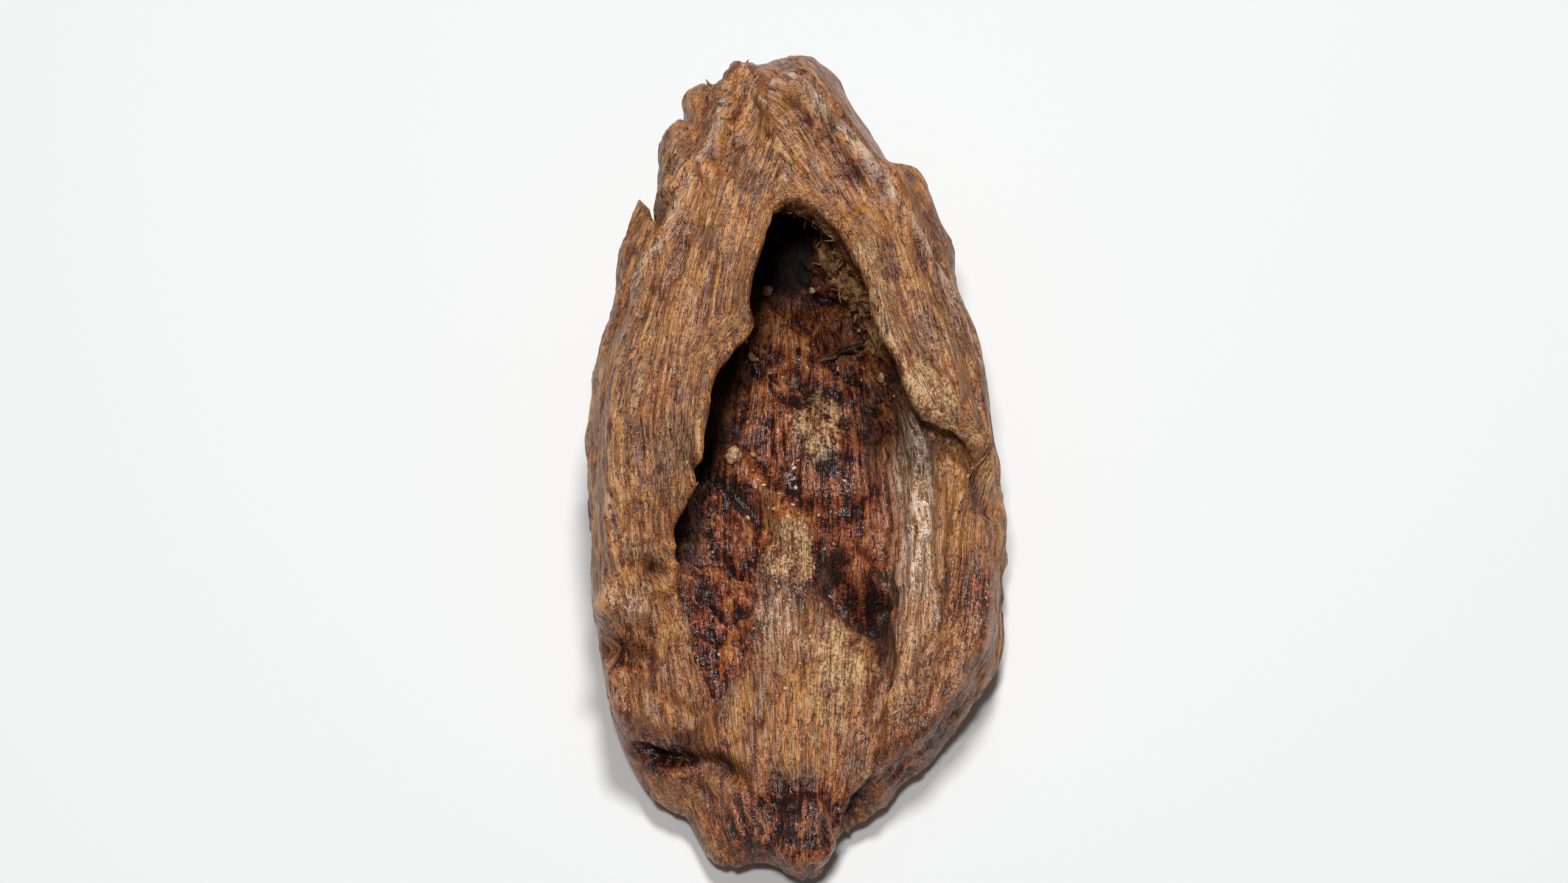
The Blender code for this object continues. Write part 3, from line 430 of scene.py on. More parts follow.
def workedShell(columns, rows):
    # the loft, moved out along its normals by folds, strokes, creases, ribs, grooves, ledges, wrinkles,
    # swells, pits, flakes and jags
    grid, fromLip, fromCrest, clock = shellGrid(columns, rows)
    normal = gridNormals(grid)
    inside = smoothStep(fromLip, 1.0, 6.0)
    nearEnd = smoothStep(-grid[..., 1], 8, 16)
    hood = clockSpan(clock, *relief["hoodSpan"]) * smoothStep(-fromLip, -0.5, 2)
    whole, slanting = fibreFields(grid, fromLip)
    above = np.clip(grid[..., 2] / 2, 0, 1)

    def fibre(size, seed, shape):
        # the shape at the fibre coordinates / size, the slanting ones on the hood
        scale = (size[0], size[1], size[0])
        return shape(whole / scale, seed) * (1 - hood) + shape(slanting / scale, seed + 1) * hood

    big = np.zeros(fromLip.shape)
    table = np.array(shell["folds"])
    crestFold, dip, lipFold = (
        np.interp(clock, table[:, 0], table[:, kind], period=360) for kind in (1, 2, 3))
    crestWidth, dipWidth, lipWidth = shell["foldWidths"]
    folds = crestFold * tent(fromCrest, crestWidth)
    folds -= dip * tent(fromCrest - shell["dipPlace"], dipWidth)
    folds += lipFold * tent(fromLip, lipWidth)
    # a painted highlight along the crest, stronger where the fold is higher
    edge = np.clip(crestFold, 0, 1) * np.exp(-np.abs(fromCrest) / relief["edgeWidth"])
    edge *= relief["edgeStrength"]
    crease = np.zeros(fromLip.shape)
    for size, width, power, path in shell["strokes"]:
        distance = distanceTo(grid, path)
        if power == 1:
            crease += size * tent(distance, width)
        else:
            big += size * np.exp(-((distance / width) ** power))
    ribSize = np.array(shell["ribSize"])
    ribs = ridged(grid / ribSize, 3) + 0.5 * noiseField(grid / (ribSize * 0.6), 8)
    big += shell["ribHeight"] * ribs * above
    resin, pale, shade, greyAndSheen, amber = (np.clip(blobs(grid, places), 0, 1) for places in zones.values())
    bevel = clockSpan(clock, *relief["bevelSpan"]) * np.exp(-(((fromLip + 0.8) / 1.6) ** 2))
    pale = np.clip(pale + 0.6 * bevel, 0, 1)
    flaky = np.exp(-((distanceTo(grid, shell["cavePath"]) / shell["caveRadius"]) ** 4))
    flaky *= smoothStep(fromLip, 0.3, 1.5) * smoothStep(grid[..., 2], 5.6, 7.4)
    resin = resin * (1 - flaky)
    strands = grid @ np.array([[0.60, 0.70, 0.1], [0.60, -0.50, 0.6], [0.37, -0.30, 0.9]])
    strands = strands / (relief["flakeSize"][0], relief["flakeSize"][1], relief["flakeSize"][1])
    small = relief["grooveHeight"] * fibre(relief["grooveSize"], 11, ridged) * (1 - 0.5 * hood)
    small += relief["fineHeight"] * fibre(relief["fineSize"], 23, ridged)
    small += relief["ledgeHeight"] * fibre(relief["ledgeSize"], 61, ledges) * (1 - flaky) * (1 - 0.6 * hood)
    small += relief["lumpHeight"] * noiseField(grid / relief["lumpSize"], 31)
    slant = grid @ np.array([[0.75, 0.66, 0.0], [-0.66, 0.75, 0.0], [0.0, 0.0, 1.0]])
    slant = slant / relief["gnarlSize"]
    gnarls = ridged(slant, 33) + 0.5 * ridged(slant * 2.1, 34)
    small += relief["gnarlHeight"] * gnarls * resin * inside * (1 - flaky)
    big += relief["swellHeight"] * noiseField(grid / relief["swellSize"], 35) * smoothStep(fromLip, 2.0, 6.0)
    small -= relief["pitHeight"] * np.clip(noiseField(grid / relief["pitSize"], 37) - 0.45, 0, 1) * 2
    small += relief["flakeHeight"] * flaky * (ledges(strands, 41) + 0.4 * ridged(strands * 2.3, 42))
    farLeft = clockSpan(clock, *relief["jagSpan"]) * np.exp(-(((fromLip + 14) / 7) ** 2))
    small += relief["jagHeight"] * farLeft * ridged(grid / relief["jagSize"], 43)
    small *= np.clip(grid[..., 2] / 1.5, 0, 1)
    points = grid + normal * (big + folds + crease + small)[..., None]
    points[..., 2] = np.maximum(points[..., 2], 0)
    hollow = smoothStep(fromLip, 2.5, 6.0) * smoothStep(grid[..., 1], -22, -8) * (1 - flaky)
    resin = np.clip(resin * np.maximum(inside, nearEnd) + relief["hollowResin"] * hollow, 0, 1)
    # heights that the material turns into painted shade in grooves and dips and lighter raised parts
    depth = small * (1 - 0.5 * inside) + 0.35 * crease + 0.15 * folds + 0.2 * np.minimum(big, 0)
    facts = {"resin": resin, "pale": pale, "relief": depth, "edge": edge, "hood": hood,
             "shade": shade * inside,
             "greyAndSheen": greyAndSheen, "amber": amber, "flaky": flaky, "whole": whole, "slanting": slanting}
    return (points - shell["middle"]) * mm, facts, fromLip, np.broadcast_to(clock, fromLip.shape)


def closedGridMesh(name, points, facts):
    # quads between rows and columns, closed round the columns, with a fan at each pole
    rows, columns = points.shape[0] - 1, points.shape[1]
    body = points[1:-1].reshape(-1, 3)
    vertices = np.concatenate([points[0, :1], body, points[-1, :1]])
    r, c = np.meshgrid(np.arange(rows - 2), np.arange(columns), indexing="ij")
    n = (c + 1) % columns
    low, high = r * columns, (r + 1) * columns
    quads = 1 + np.stack([low + c, low + n, high + n, high + c], axis=-1).reshape(-1, 4)
    c = np.arange(columns)
    n = (c + 1) % columns
    first = np.stack([0 * c, 1 + n, 1 + c], axis=-1)
    top = 1 + (rows - 2) * columns
    last = np.stack([top + c, top + n, 0 * c + len(vertices) - 1], axis=-1)
    corners = np.concatenate([quads.ravel(), first.ravel(), last.ravel()])
    sizes = np.concatenate([np.full(len(quads), 4), np.full(2 * columns, 3)])
    starts = np.concatenate([[0], np.cumsum(sizes)[:-1]])
    mesh = bpy.data.meshes.new(name)
    mesh.vertices.add(len(vertices))
    mesh.vertices.foreach_set("co", vertices.ravel())
    mesh.loops.add(len(corners))
    mesh.loops.foreach_set("vertex_index", corners.astype(np.int32))
    mesh.polygons.add(len(sizes))
    mesh.polygons.foreach_set("loop_start", starts.astype(np.int32))
    mesh.update(calc_edges=True)
    for key, field in facts.items():
        flat = np.concatenate([field[0, :1], field[1:-1].reshape(-1, *field.shape[2:]), field[-1, :1]])
        kind, slot = ("FLOAT", "value") if field.ndim == 2 else ("FLOAT_VECTOR", "vector")
        mesh.attributes.new(key, kind, "POINT").data.foreach_set(slot, flat.astype(np.float32).ravel())
    mesh.shade_smooth()
    return mesh


def place(name, mesh, material):
    # link the piece, dress it, and say what it rides on and is made of
    piece = bpy.data.objects.new(name, mesh)
    bpy.context.scene.collection.objects.link(piece)
    mesh.materials.append(material)
    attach(piece, "root")
    return piece


class Nodes:
    # short ways to add and join shader nodes
    def __init__(self, name):
        # a new material and its shader
        self.material = bpy.data.materials.new(name)
        self.material.use_nodes = True
        self.tree = self.material.node_tree
        self.shader = self.tree.nodes["Principled BSDF"]

    def add(self, kind, inputs=(), **settings):
        # one node: sockets are joined, values are set
        node = self.tree.nodes.new(kind)
        for key, value in settings.items():
            setattr(node, key, value)
        for socket, value in dict(inputs).items():
            if isinstance(value, bpy.types.NodeSocket):
                self.tree.links.new(value, node.inputs[socket])
            else:
                node.inputs[socket].default_value = value
        return node

    def math(self, operation, a, b):
        # one operation on two values
        return self.add("ShaderNodeMath", {0: a, 1: b}, operation=operation).outputs[0]

    def fact(self, name):
        # a value that the mesh stores
        return self.add("ShaderNodeAttribute", attribute_name=name).outputs["Fac"]

    def noise(self, vector, scale, detail, shift):
        # noise at vector * scale + shift
        spot = self.add("ShaderNodeMapping", {"Vector": vector, "Scale": scale, "Location": (shift,) * 3})
        inputs = {"Vector": spot.outputs[0], "Scale": 1.0, "Detail": detail, "Roughness": 0.55}
        return self.add("ShaderNodeTexNoise", inputs).outputs[0]

    def between(self, value, low, high):
        # 3w^2 - 2w^3, as smoothStep
        return self.add("ShaderNodeMapRange", {"Value": value, "From Min": low, "From Max": high},
                        interpolation_type="SMOOTHSTEP").outputs[0]

    def mix(self, factor, a, b):
        # colours: a * (1 - factor) + b * factor
        node = self.tree.nodes.new("ShaderNodeMix")
        node.data_type = "RGBA"
        for index, value in ((0, factor), (6, a), (7, b)):
            if isinstance(value, bpy.types.NodeSocket):
                self.tree.links.new(value, node.inputs[index])
            else:
                node.inputs[index].default_value = value if index == 0 else (*value, 1)
        return node.outputs[2]

    def blendValue(self, factor, a, b):
        # numbers: a * (1 - factor) + b * factor
        return self.add("ShaderNodeMix", {0: factor, 2: a, 3: b}, data_type="FLOAT").outputs[0]

    def ramp(self, value, stops):
        # the colour at a value, blended from stop to stop
        node = self.add("ShaderNodeValToRGB", {0: value})
        ramp = node.color_ramp
        while len(ramp.elements) < len(stops):
            ramp.elements.new(0.5)
        for element, (spot, colour) in zip(ramp.elements, stops):
            element.position, element.color = spot, (*colour, 1)
        return node.outputs[0]


# linear colours of the wood; sizes in millimetres, across and along the fibre
tones = {
    # the colour of the painted shade
    "paintedShadeBlack": (0.006, 0.002, 0.002),
    "black": (0.020, 0.008, 0.007),
    "maroon": (0.062, 0.016, 0.011),
    "dark": (0.120, 0.030, 0.017),
    "brown": (0.270, 0.094, 0.032),
    "orange": (0.470, 0.172, 0.044),
    "gold": (0.570, 0.245, 0.072),
    "tan": (0.600, 0.325, 0.130),
    "straw": (0.740, 0.490, 0.240),
    "grey": (0.205, 0.120, 0.088),
    "oxblood": (0.200, 0.046, 0.020),
    "rust": (0.330, 0.094, 0.036),
    "amber": (0.500, 0.185, 0.055),
    # grey that also stands for painted sheen
    "greyAndSheen": (0.680, 0.510, 0.385),
    "flake": (0.600, 0.340, 0.150),
    "outerRamp": ((0.0, "dark"), (0.26, "brown"), (0.50, "orange"), (0.76, "gold"), (0.94, "tan")),
    "innerRamp": ((0.0, "black"), (0.24, "black"), (0.40, "maroon"), (0.54, "oxblood"), (0.72, "rust"),
                  (0.92, "amber")),
    "sway": 0.22,
    "bandSize": (1.3, 11.0),
    "streakSize": (0.50, 6.0),
    "lineSize": (0.22, 4.2),
    "chipSize": (0.42, 2.2),
    "fleckSize": (0.25, 0.95),
    "roughness": 0.36,
    "bump": 0.00032,
}


def woodMaterial():
    # soft bands, streaks, fine lines and chips along the fibre, stained by patches; resin places are blotched
    # and glossy; the fibre coordinates come from the mesh in millimetres
    n = Nodes("resin wood")
    place3d = n.add("ShaderNodeTexCoord").outputs["Object"]
    names = ("resin", "pale", "relief", "hood", "shade", "greyAndSheen", "amber", "flaky", "edge")
    resin, pale, height, hood, shade, greyAndSheen, amber, flaky, edge = (n.fact(name) for name in names)
    sway = n.add("ShaderNodeTexNoise", {"Vector": place3d, "Scale": 420.0, "Detail": 2.0}).outputs["Color"]
    sway = n.add("ShaderNodeVectorMath", {0: sway, 1: (0.5, 0.5, 0.5)}, operation="SUBTRACT").outputs[0]
    fields = []
    for name in ("whole", "slanting"):
        plain = n.add("ShaderNodeAttribute", attribute_name=name).outputs["Vector"]
        fields.append(n.add("ShaderNodeVectorMath", {0: sway, 1: (tones["sway"],) * 3, 2: plain},
                            operation="MULTIPLY_ADD").outputs[0])

    def both(a, b):
        # a * b
        return n.math("MULTIPLY", a, b)

    def away(value, amount):
        # (value - 0.5) * amount
        return both(n.math("SUBTRACT", value, 0.5), amount)

    def total(first, *others):
        # the sum of them all
        for other in others:
            first = n.math("ADD", first, other)
        return first

    def streak(size, shift, detail=2.0):
        # one pattern follows the length and one the slants of the hood
        scale = (1 / size[0], 1 / size[1], 1 / size[0])
        return n.blendValue(hood, *(n.noise(field, scale, detail, shift) for field in fields))

    def cells(size):
        # a random shade for each long crisp-edged cell
        ragged = away(n.noise(place3d, (2200, 2200, 2200), 1.0, 41.0), 0.9)
        scale = (1 / size[0], 1 / size[1], 1 / size[0])
        found = []
        for field in fields:
            spot = n.add("ShaderNodeMapping", {"Vector": field, "Scale": scale}).outputs[0]
            spot = n.add("ShaderNodeVectorMath", {0: spot, 1: ragged}, operation="ADD").outputs[0]
            cell = n.add("ShaderNodeTexVoronoi", {"Vector": spot, "Scale": 1.0}, voronoi_dimensions="3D")
            found.append(n.add("ShaderNodeSeparateColor", {0: cell.outputs["Color"]}).outputs[0])
        return n.blendValue(hood, *found)

    def ramped(value, stops):
        # the colours of the named tones, blended from stop to stop
        return n.ramp(value, [(spot, tones[name]) for spot, name in stops])

    band = streak(tones["bandSize"], 3.1)
    medium = streak(tones["streakSize"], 12.7, 3.0)
    lines = streak(tones["lineSize"], 24.3, 2.0)
    flecks = streak(tones["fleckSize"], 31.9, 2.0)
    chips = cells(tones["chipSize"])
    stain = n.noise(place3d, (210, 160, 210), 3.0, 5.0)
    blots = n.noise(place3d, (620, 480, 620), 4.0, 15.0)
    grit = n.noise(place3d, (3200, 3200, 3200), 2.0, 9.0)
    beads = n.between(n.noise(place3d, (2300, 2300, 2300), 1.0, 19.0), 0.60, 0.70)

    # the height term paints raised parts lighter and low parts darker
    level = total(both(height, 0.24), 0.475, away(band, 0.7), away(medium, 0.75), away(lines, 0.45),
                  away(chips, 0.14), away(stain, 0.9), away(blots, 0.7), away(grit, 0.3))
    outer = ramped(n.between(level, 0.22, 0.80), tones["outerRamp"])
    paleLine = n.between(total(lines, away(medium, 0.6), away(blots, -0.3)), 0.46, 0.38)
    outer = n.mix(both(paleLine, 0.36), outer, tones["straw"])
    # grey patches, partly a grey tone and partly painted sheen
    greySheenPatch = n.between(total(medium, away(blots, -0.5), away(chips, 0.10)), 0.54, 0.66)
    outer = n.mix(both(greySheenPatch, 0.12), outer, tones["grey"])
    reddish = n.between(total(stain, away(medium, -0.7), away(lines, -0.4), away(blots, 0.6)), 0.51, 0.61)
    outer = n.mix(both(reddish, 0.68), outer, tones["dark"])

    # the height term paints raised parts lighter and low parts darker
    deep = total(both(height, 0.25), 0.5, away(stain, 0.9), away(blots, 0.75), away(grit, 0.6),
                 away(medium, 0.9), away(lines, 0.4))
    inner = ramped(n.between(deep, 0.14, 0.90), tones["innerRamp"])
    # painted highlight: a pale line along the crest
    outer = n.mix(both(edge, n.between(total(medium, blots), 0.80, 1.10)), outer, tones["greyAndSheen"])
    resinEdge = total(resin, away(stain, 0.9), away(blots, 0.7), away(medium, 0.3))
    resinMask = n.between(resinEdge, 0.20, 0.80)
    colour = n.mix(resinMask, outer, inner)
    amberMask = n.between(total(amber, away(blots, 2.4), away(medium, 1.8)), 0.50, 0.90)
    amberMask = both(n.between(amber, 0.05, 0.35), amberMask)
    colour = n.mix(both(amberMask, 0.85), colour, tones["amber"])
    dry = n.math("SUBTRACT", 1.0, both(resinMask, 0.7))

    pale = n.math("MAXIMUM", pale, both(flaky, 0.35))
    paleMask = n.between(total(pale, away(blots, 1.6), away(grit, 0.5)), 0.35, 0.85)
    tornMask = n.between(total(grit, away(medium, 0.8), away(blots, 0.6)), 0.36, 0.62)
    torn = n.mix(tornMask, tones["brown"], tones["straw"])
    colour = n.mix(both(paleMask, 0.80), colour, torn)
    flakeMask = both(flaky, n.between(total(blots, away(grit, 0.5)), 0.36, 0.56))
    colour = n.mix(flakeMask, colour, tones["flake"])
    glint = n.between(total(medium, away(lines, -0.9), away(flecks, 0.9), away(blots, 0.5)), 0.40, 0.60)
    # painted light brightens the grey zone to tan, then painted glints run along the lines
    colour = n.mix(both(greyAndSheen, 0.45), colour, tones["tan"])
    colour = n.mix(both(greyAndSheen, glint), colour, tones["greyAndSheen"])

    darkLine = n.between(total(lines, away(blots, 0.35), away(band, 0.3)), 0.57, 0.62)
    colour = n.mix(both(darkLine, 0.50), colour, tones["dark"])
    crack = n.between(total(flecks, away(stain, 0.3), away(grit, 0.2)), 0.62, 0.66)
    colour = n.mix(both(crack, 0.68), colour, tones["black"])
    fleck = n.between(total(n.math("SUBTRACT", 1.0, flecks), away(chips, 0.05), away(grit, 0.2)), 0.67, 0.73)
    colour = n.mix(both(both(fleck, dry), 0.60), colour, tones["straw"])
    # painted shade: grooves and dips mixed towards black
    colour = n.mix(both(n.between(height, -0.04, -0.50), 0.80), colour, tones["black"])
    # painted shade: the shade zones mixed nearly to black
    colour = n.mix(both(shade, 0.96), colour, tones["paintedShadeBlack"])
    n.tree.links.new(colour, n.shader.inputs["Base Color"])

    gloss = total(away(blots, 0.5), both(shade, 0.6), tones["roughness"], both(paleMask, 0.20),
                  both(resinMask, -0.17), both(greyAndSheen, -0.08), both(beads, -0.16))
    n.tree.links.new(n.math("MAXIMUM", gloss, 0.14), n.shader.inputs["Roughness"])
    rise = total(both(medium, 0.7), both(lines, -0.3), both(darkLine, -0.30), both(crack, -0.45),
                 both(fleck, 0.2), both(chips, 0.08), both(blots, 0.5), both(grit, 0.30), both(beads, 0.35))
    bump = n.add("ShaderNodeBump", {"Height": rise, "Strength": 1.0, "Distance": tones["bump"]})
    n.tree.links.new(bump.outputs[0], n.shader.inputs["Normal"])
    n.shader.inputs["Specular IOR Level"].default_value = 0.5
    return n.material


wood = woodMaterial()
columns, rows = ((shell["columns"], shell["rows"]))
points, facts, fromLip, clock = workedShell(columns, rows)
shellMesh = closedGridMesh("wood_shell", points, facts)
woodShell = place("wood_shell", shellMesh, wood)
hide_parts("agarwood_shell")
print("shell made", len(shellMesh.polygons), "faces")

# lights in metres and watts, camera in millimetres and degrees, picture in pixels
studio = {
    "pictureSize": (2576, 1450),
    "sensorWidth": 36,
    "cameraPlace": (-1.1, -205.0, 339.2),
    "cameraTilt": 58.0,
    "lens": 93.9,
    "keyPlace": (0.045, 0.215, 0.58),
    "keySize": 0.15,
    "keyPower": 2.50,
    "fillPlace": (-0.05, -0.155, 0.58),
    "fillSize": 0.09,
    "fillPower": 1.42,
    "skyStrength": 0.085,
    "floorColour": (0.86, 0.87, 0.87),
}

# small loose things and torn fibre; lengths in millimetres, places in pixels of the 2576 x 1450 picture
litter = {
    "seed": 7,
    # pixel, size, flatness
    "crumbs": [((1262, 476), 0.62, 0.7), ((1232, 583), 0.40, 0.5), ((1199, 742), 0.70, 0.7),
               ((1210, 748), 0.62, 0.6), ((1204, 754), 0.50, 0.8), ((1445, 621), 0.50, 0.6),
               ((1240, 745), 0.34, 0.7), ((1330, 480), 0.30, 0.6)],
    "dustCount": 70, "dustSize": (0.10, 0.24),
    "barkPath": [(1351, 595), (1366, 588), (1384, 580), (1398, 573), (1413, 571)],
    "barkTwig": [(1390, 578), (1398, 580), (1404, 586)],
    "barkRadius": (0.34, 0.20),
    "splinterCount": 70, "splinterLength": (0.5, 1.2), "splinterRadius": (0.10, 0.20),
    "splinterLift": (0.05, 0.35),
    "edgeCount": 34, "edgeLength": (0.5, 1.1), "edgeRadius": (0.22, 0.42), "edgeLift": (0.0, 0.25),
    "edgeHeading": (-0.2, 0.9, 0.5),
    "flakeCount": 150, "flakeLength": (0.8, 1.7), "flakeWidth": (0.34, 0.70), "flakeLift": (0.15, 0.6),
    "flakeHeading": (0.6, -0.6, -0.5),
    "sunk": 0.12, "sliverSides": 6,
}


def bundle(name, centres, first, second, sides, material):
    # tapering bodies: each station's ring is centre + cos(a) * first + sin(a) * second,
    # and one face closes each end
    count, stations = centres.shape[:2]
    angle = np.arange(sides) * 2 * np.pi / sides
    rings = centres[:, :, None] + np.cos(angle)[:, None] * first[:, :, None]
    rings = rings + np.sin(angle)[:, None] * second[:, :, None]
    i, j, k = np.meshgrid(np.arange(count), np.arange(stations - 1), np.arange(sides), indexing="ij")
    n = (k + 1) % sides
    low, high = (i * stations + j) * sides, (i * stations + j + 1) * sides
    quads = np.stack([low + k, low + n, high + n, high + k], axis=-1).reshape(-1, 4)
    begin = np.arange(count)[:, None] * stations * sides + np.arange(sides)
    ends = np.concatenate([begin[:, ::-1], begin + (stations - 1) * sides])
    mesh = bpy.data.meshes.new(name)
    mesh.from_pydata(rings.reshape(-1, 3) * mm, [], quads.tolist() + ends.tolist())
    mesh.shade_smooth()
    return place(name, mesh, material)


def unit(vectors):
    # each vector / its length
    return vectors / np.maximum(np.linalg.norm(vectors, axis=-1, keepdims=True), 1e-9)


def pictureSpot(points):
    # where the camera sees each point, in pixels, with its distance
    tilt = math.radians(studio["cameraTilt"])
    wide, high = studio["pictureSize"]
    away = points - studio["cameraPlace"]
    depth = away @ np.array([0, math.cos(tilt), -math.sin(tilt)])
    climb = away @ np.array([0, math.sin(tilt), math.cos(tilt)])
    reach = studio["lens"] / studio["sensorWidth"] * wide / depth
    return wide / 2 + away[..., 0] * reach, high / 2 - climb * reach, depth


def spotsUnder(pixels, points):
    # for each pixel, the row and column of the shell point seen there
    px, py, depth = pictureSpot(points)
    found = []
    for x, y in pixels:
        near = np.hypot(px - x, py - y)
        score = np.where(near < max(6, near.min() + 1), depth, np.inf)
        found.append(np.unravel_index(np.argmin(score), score.shape))
    return tuple(np.array(found).T)


def slivers(name, spots, heading, lift, length, radius, flatness):
    # thin bodies that start just under the surface and taper as sqrt(1 - t) along a heading that lifts off it
    base, up = skin[spots], skinNormal[spots]
    heading = unit(heading - (heading * up).sum(axis=-1, keepdims=True) * up)
    aim = unit(heading + up * lift[:, None])
    side = unit(np.cross(up, aim))
    over = np.cross(aim, side)
    t = np.linspace(0, 1, 5)[None, :, None]
    bend = draw.normal(0, 0.10, (len(base), 1, 1)) * t**2 * length[:, None, None]
    centres = base[:, None] - litter["sunk"] * up[:, None] + aim[:, None] * t * length[:, None, None]
    centres = centres + side[:, None] * bend
    wide = radius[:, None, None] * np.sqrt(1.03 - t)
    return bundle(name, centres, side[:, None] * wide, over[:, None] * wide * flatness,
                  litter["sliverSides"], dryFibre)


def choose(mask, count):
    # rows and columns of a number of different shell points inside the mask
    rows, cols = np.nonzero(mask)
    pick = draw.choice(len(rows), count, replace=False)
    return rows[pick], cols[pick]


def fibreMaterial(name, low, high, rough, scale):
    # two colours mixed by fine noise, with a fine bump
    n = Nodes(name)
    spot = n.add("ShaderNodeTexCoord").outputs["Object"]
    mottle = n.noise(spot, (scale, scale, scale), 3.0, 2.0)
    grit = n.noise(spot, (scale * 4, scale * 4, scale * 4), 2.0, 6.0)
    n.tree.links.new(n.mix(n.between(mottle, 0.36, 0.64), low, high), n.shader.inputs["Base Color"])
    n.tree.links.new(n.math("ADD", n.math("MULTIPLY", grit, 0.3), rough - 0.15), n.shader.inputs["Roughness"])
    bump = n.add("ShaderNodeBump", {"Height": grit, "Strength": 1.0, "Distance": 0.00012})
    n.tree.links.new(bump.outputs[0], n.shader.inputs["Normal"])
    return n.material


dryFibre = fibreMaterial("dry fibre", (0.130, 0.045, 0.018), (0.600, 0.330, 0.140), 0.60, 900)
crumbWood = fibreMaterial("crumb", (0.420, 0.190, 0.085), (0.820, 0.560, 0.340), 0.70, 1500)
darkBark = fibreMaterial("bark bit", (0.018, 0.010, 0.008), (0.110, 0.055, 0.035), 0.45, 900)

draw = np.random.default_rng(litter["seed"])
skin = points / mm
skinNormal = gridNormals(skin)
turnWay = unit(np.roll(skin, -1, axis=1) - np.roll(skin, 1, axis=1))

places = litter["crumbs"]
spots = spotsUnder([p[0] for p in places], skin)
size = np.array([p[1] for p in places])
flat = np.array([p[2] for p in places])
dust = choose((fromLip > 3) & (skin[..., 2] > 2) & (facts["shade"] < 0.4), litter["dustCount"])
spots = tuple(np.concatenate([a, b]) for a, b in zip(spots, dust))
size = np.concatenate([size, draw.uniform(*litter["dustSize"], litter["dustCount"])])
flat = np.concatenate([flat, draw.uniform(0.5, 0.9, litter["dustCount"])])
up = skinNormal[spots]
side = unit(np.cross(up, unit(draw.normal(size=up.shape))))
over = np.cross(up, side)
t = np.linspace(-1, 1, 7)[None, :, None]
bulge = np.sqrt(np.maximum(1.04 - t**2, 0.03))
lumps = draw.uniform(0.62, 1.15, (len(size), 7, 1))
half = size[:, None, None]
centres = (skin[spots] + up * (size * flat * 0.45)[:, None])[:, None] + side[:, None] * t * half * 1.2
centres = centres + over[:, None] * draw.normal(0, 0.10, (len(size), 7, 1)) * half
bundle("crumbs", centres, over[:, None] * half * bulge * lumps,
       up[:, None] * half * flat[:, None, None] * bulge * lumps, 8, crumbWood)

for name, pixels, reach in (("bark_bit", litter["barkPath"], 1.0), ("bark_twig", litter["barkTwig"], 0.6)):
    base = skin[spotsUnder(pixels, skin)] + (0, 0, 0.45)
    fine = np.linspace(0, len(base) - 1, 15)
    path = np.stack([np.interp(fine, np.arange(len(base)), base[:, axis]) for axis in range(3)], axis=-1)
    aim = unit(np.gradient(path, axis=0))
    side = unit(np.cross((0, 0, 1), aim))
    up = np.cross(aim, side)
    taper = (np.sqrt(np.sin(np.linspace(0.25, 2.7, 15))) * draw.uniform(0.7, 1.1, 15) * reach)[:, None]
    wide, high = litter["barkRadius"]
    bundle(name, path[None], (side * wide * taper)[None], (up * high * taper)[None], 7, darkBark)

lipBand = (np.abs(fromLip) < 1.2) & (skin[..., 1] > -30) & (skin[..., 1] < 15)
spots = choose(lipBand, litter["splinterCount"])
count = litter["splinterCount"]
slivers("lip_fibres", spots, turnWay[spots] * np.sign(draw.normal(size=(count, 1))),
        draw.uniform(*litter["splinterLift"], count), draw.uniform(*litter["splinterLength"], count),
        draw.uniform(*litter["splinterRadius"], count), 0.5)

farEdge = (clock > 196) & (clock < 247) & (skin[..., 2] > 11) & (fromLip < -6)
farEdge &= np.abs(skinNormal[..., 2]) < 0.85
spots = choose(farEdge, litter["edgeCount"])
count = litter["edgeCount"]
slivers("edge_splinters", spots, np.broadcast_to(litter["edgeHeading"], (count, 3)),
        draw.uniform(*litter["edgeLift"], count), draw.uniform(*litter["edgeLength"], count),
        draw.uniform(*litter["edgeRadius"], count), 0.45)

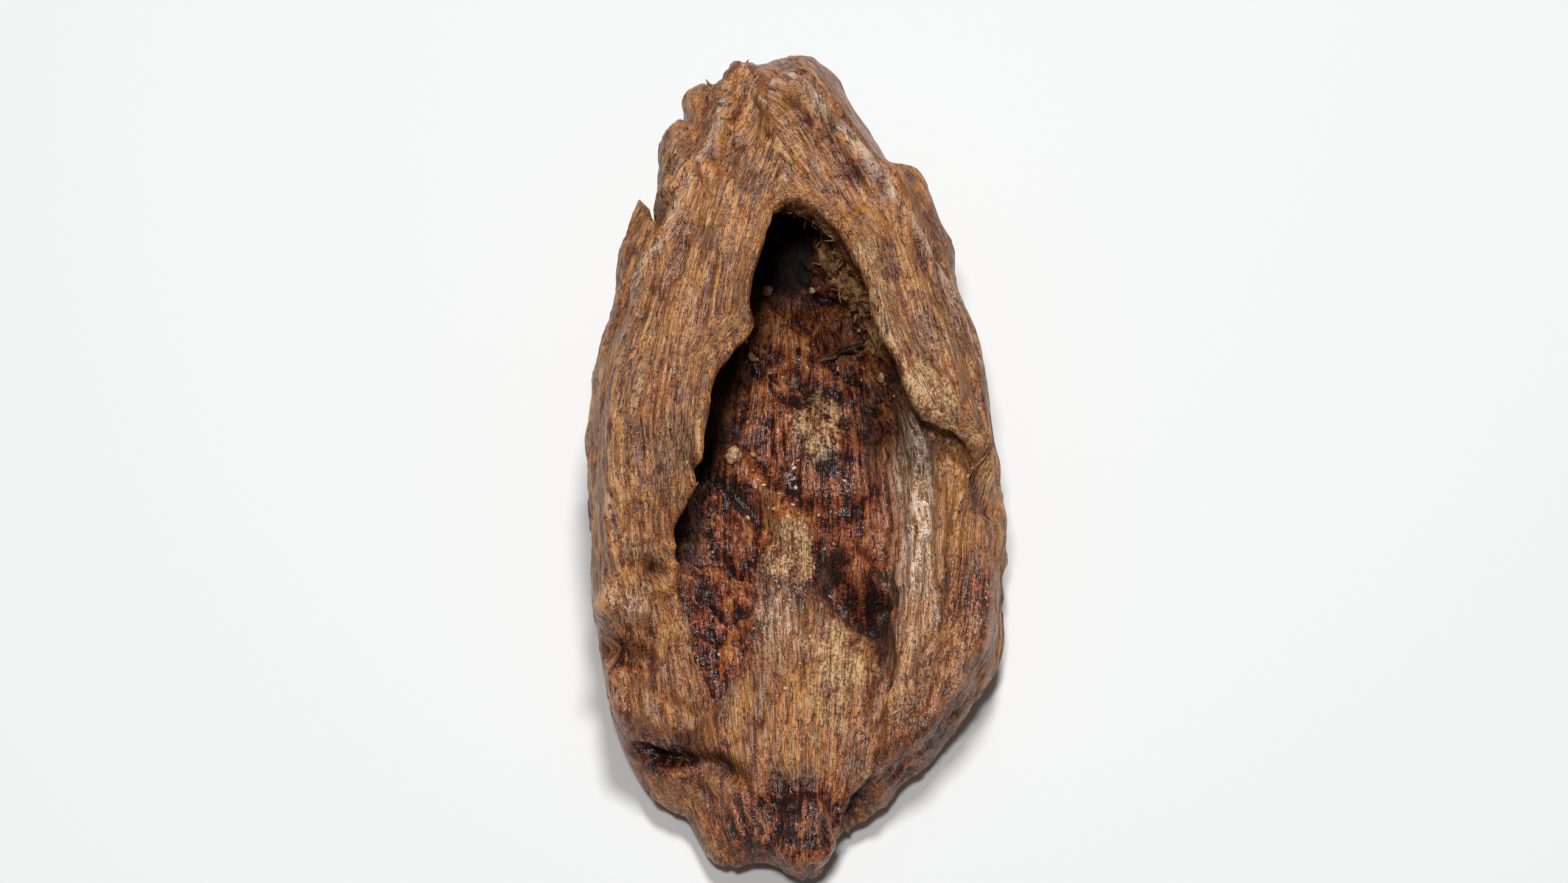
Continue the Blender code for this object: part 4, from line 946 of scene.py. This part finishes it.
spots = choose((facts["flaky"] > 0.45) & (fromLip > 3), litter["flakeCount"])
count = litter["flakeCount"]
heading = np.broadcast_to(litter["flakeHeading"], (count, 3)) * np.sign(draw.normal(size=(count, 1)))
slivers("cave_flakes", spots, heading, draw.uniform(*litter["flakeLift"], count),
        draw.uniform(*litter["flakeLength"], count), draw.uniform(*litter["flakeWidth"], count), 0.22)
print("litter made")


def floorMaterial():
    # a pale colour with slightly uneven gloss
    n = Nodes("white board")
    spot = n.add("ShaderNodeTexCoord").outputs["Object"]
    speck = n.add("ShaderNodeTexNoise", {"Vector": spot, "Scale": 900.0}).outputs[0]
    n.shader.inputs["Base Color"].default_value = (*studio["floorColour"], 1)
    n.tree.links.new(n.math("ADD", n.math("MULTIPLY", speck, 0.1), 0.75), n.shader.inputs["Roughness"])
    return n.material


floorMesh = bpy.data.meshes.new("floor")
floorMesh.from_pydata([(-2, -2, 0), (2, -2, 0), (2, 2, 0), (-2, 2, 0)], [], [(0, 1, 2, 3)])
floor = bpy.data.objects.new("floor", floorMesh)
bpy.context.scene.collection.objects.link(floor)
floorMesh.materials.append(floorMaterial())

world = bpy.data.worlds.new("studio")
bpy.context.scene.world = world
world.use_nodes = True
world.node_tree.nodes["Background"].inputs["Color"].default_value = (0.95, 0.98, 1.0, 1)
world.node_tree.nodes["Background"].inputs["Strength"].default_value = studio["skyStrength"]

def areaLight(name, spot, size, power):
    # a round lamp that faces the middle of the floor
    light = bpy.data.lights.new(name, "AREA")
    light.shape, light.size, light.energy = "DISK", size, power
    lamp = bpy.data.objects.new(name, light)
    bpy.context.scene.collection.objects.link(lamp)
    lamp.location = spot
    lamp.rotation_euler = (-Vector(spot)).to_track_quat("-Z", "Y").to_euler()


areaLight("key", studio["keyPlace"], studio["keySize"], studio["keyPower"])
areaLight("fill", studio["fillPlace"], studio["fillSize"], studio["fillPower"])

camera = bpy.data.objects.new("camera", bpy.data.cameras.new("camera"))
bpy.context.scene.collection.objects.link(camera)
bpy.context.scene.camera = camera
camera.location = [v * mm for v in studio["cameraPlace"]]
camera.rotation_euler = (math.radians(90 - studio["cameraTilt"]), 0, 0)
camera.data.lens, camera.data.sensor_width = studio["lens"], studio["sensorWidth"]
camera.data.clip_start = 0.005
bpy.context.scene.view_settings.view_transform = "Standard"
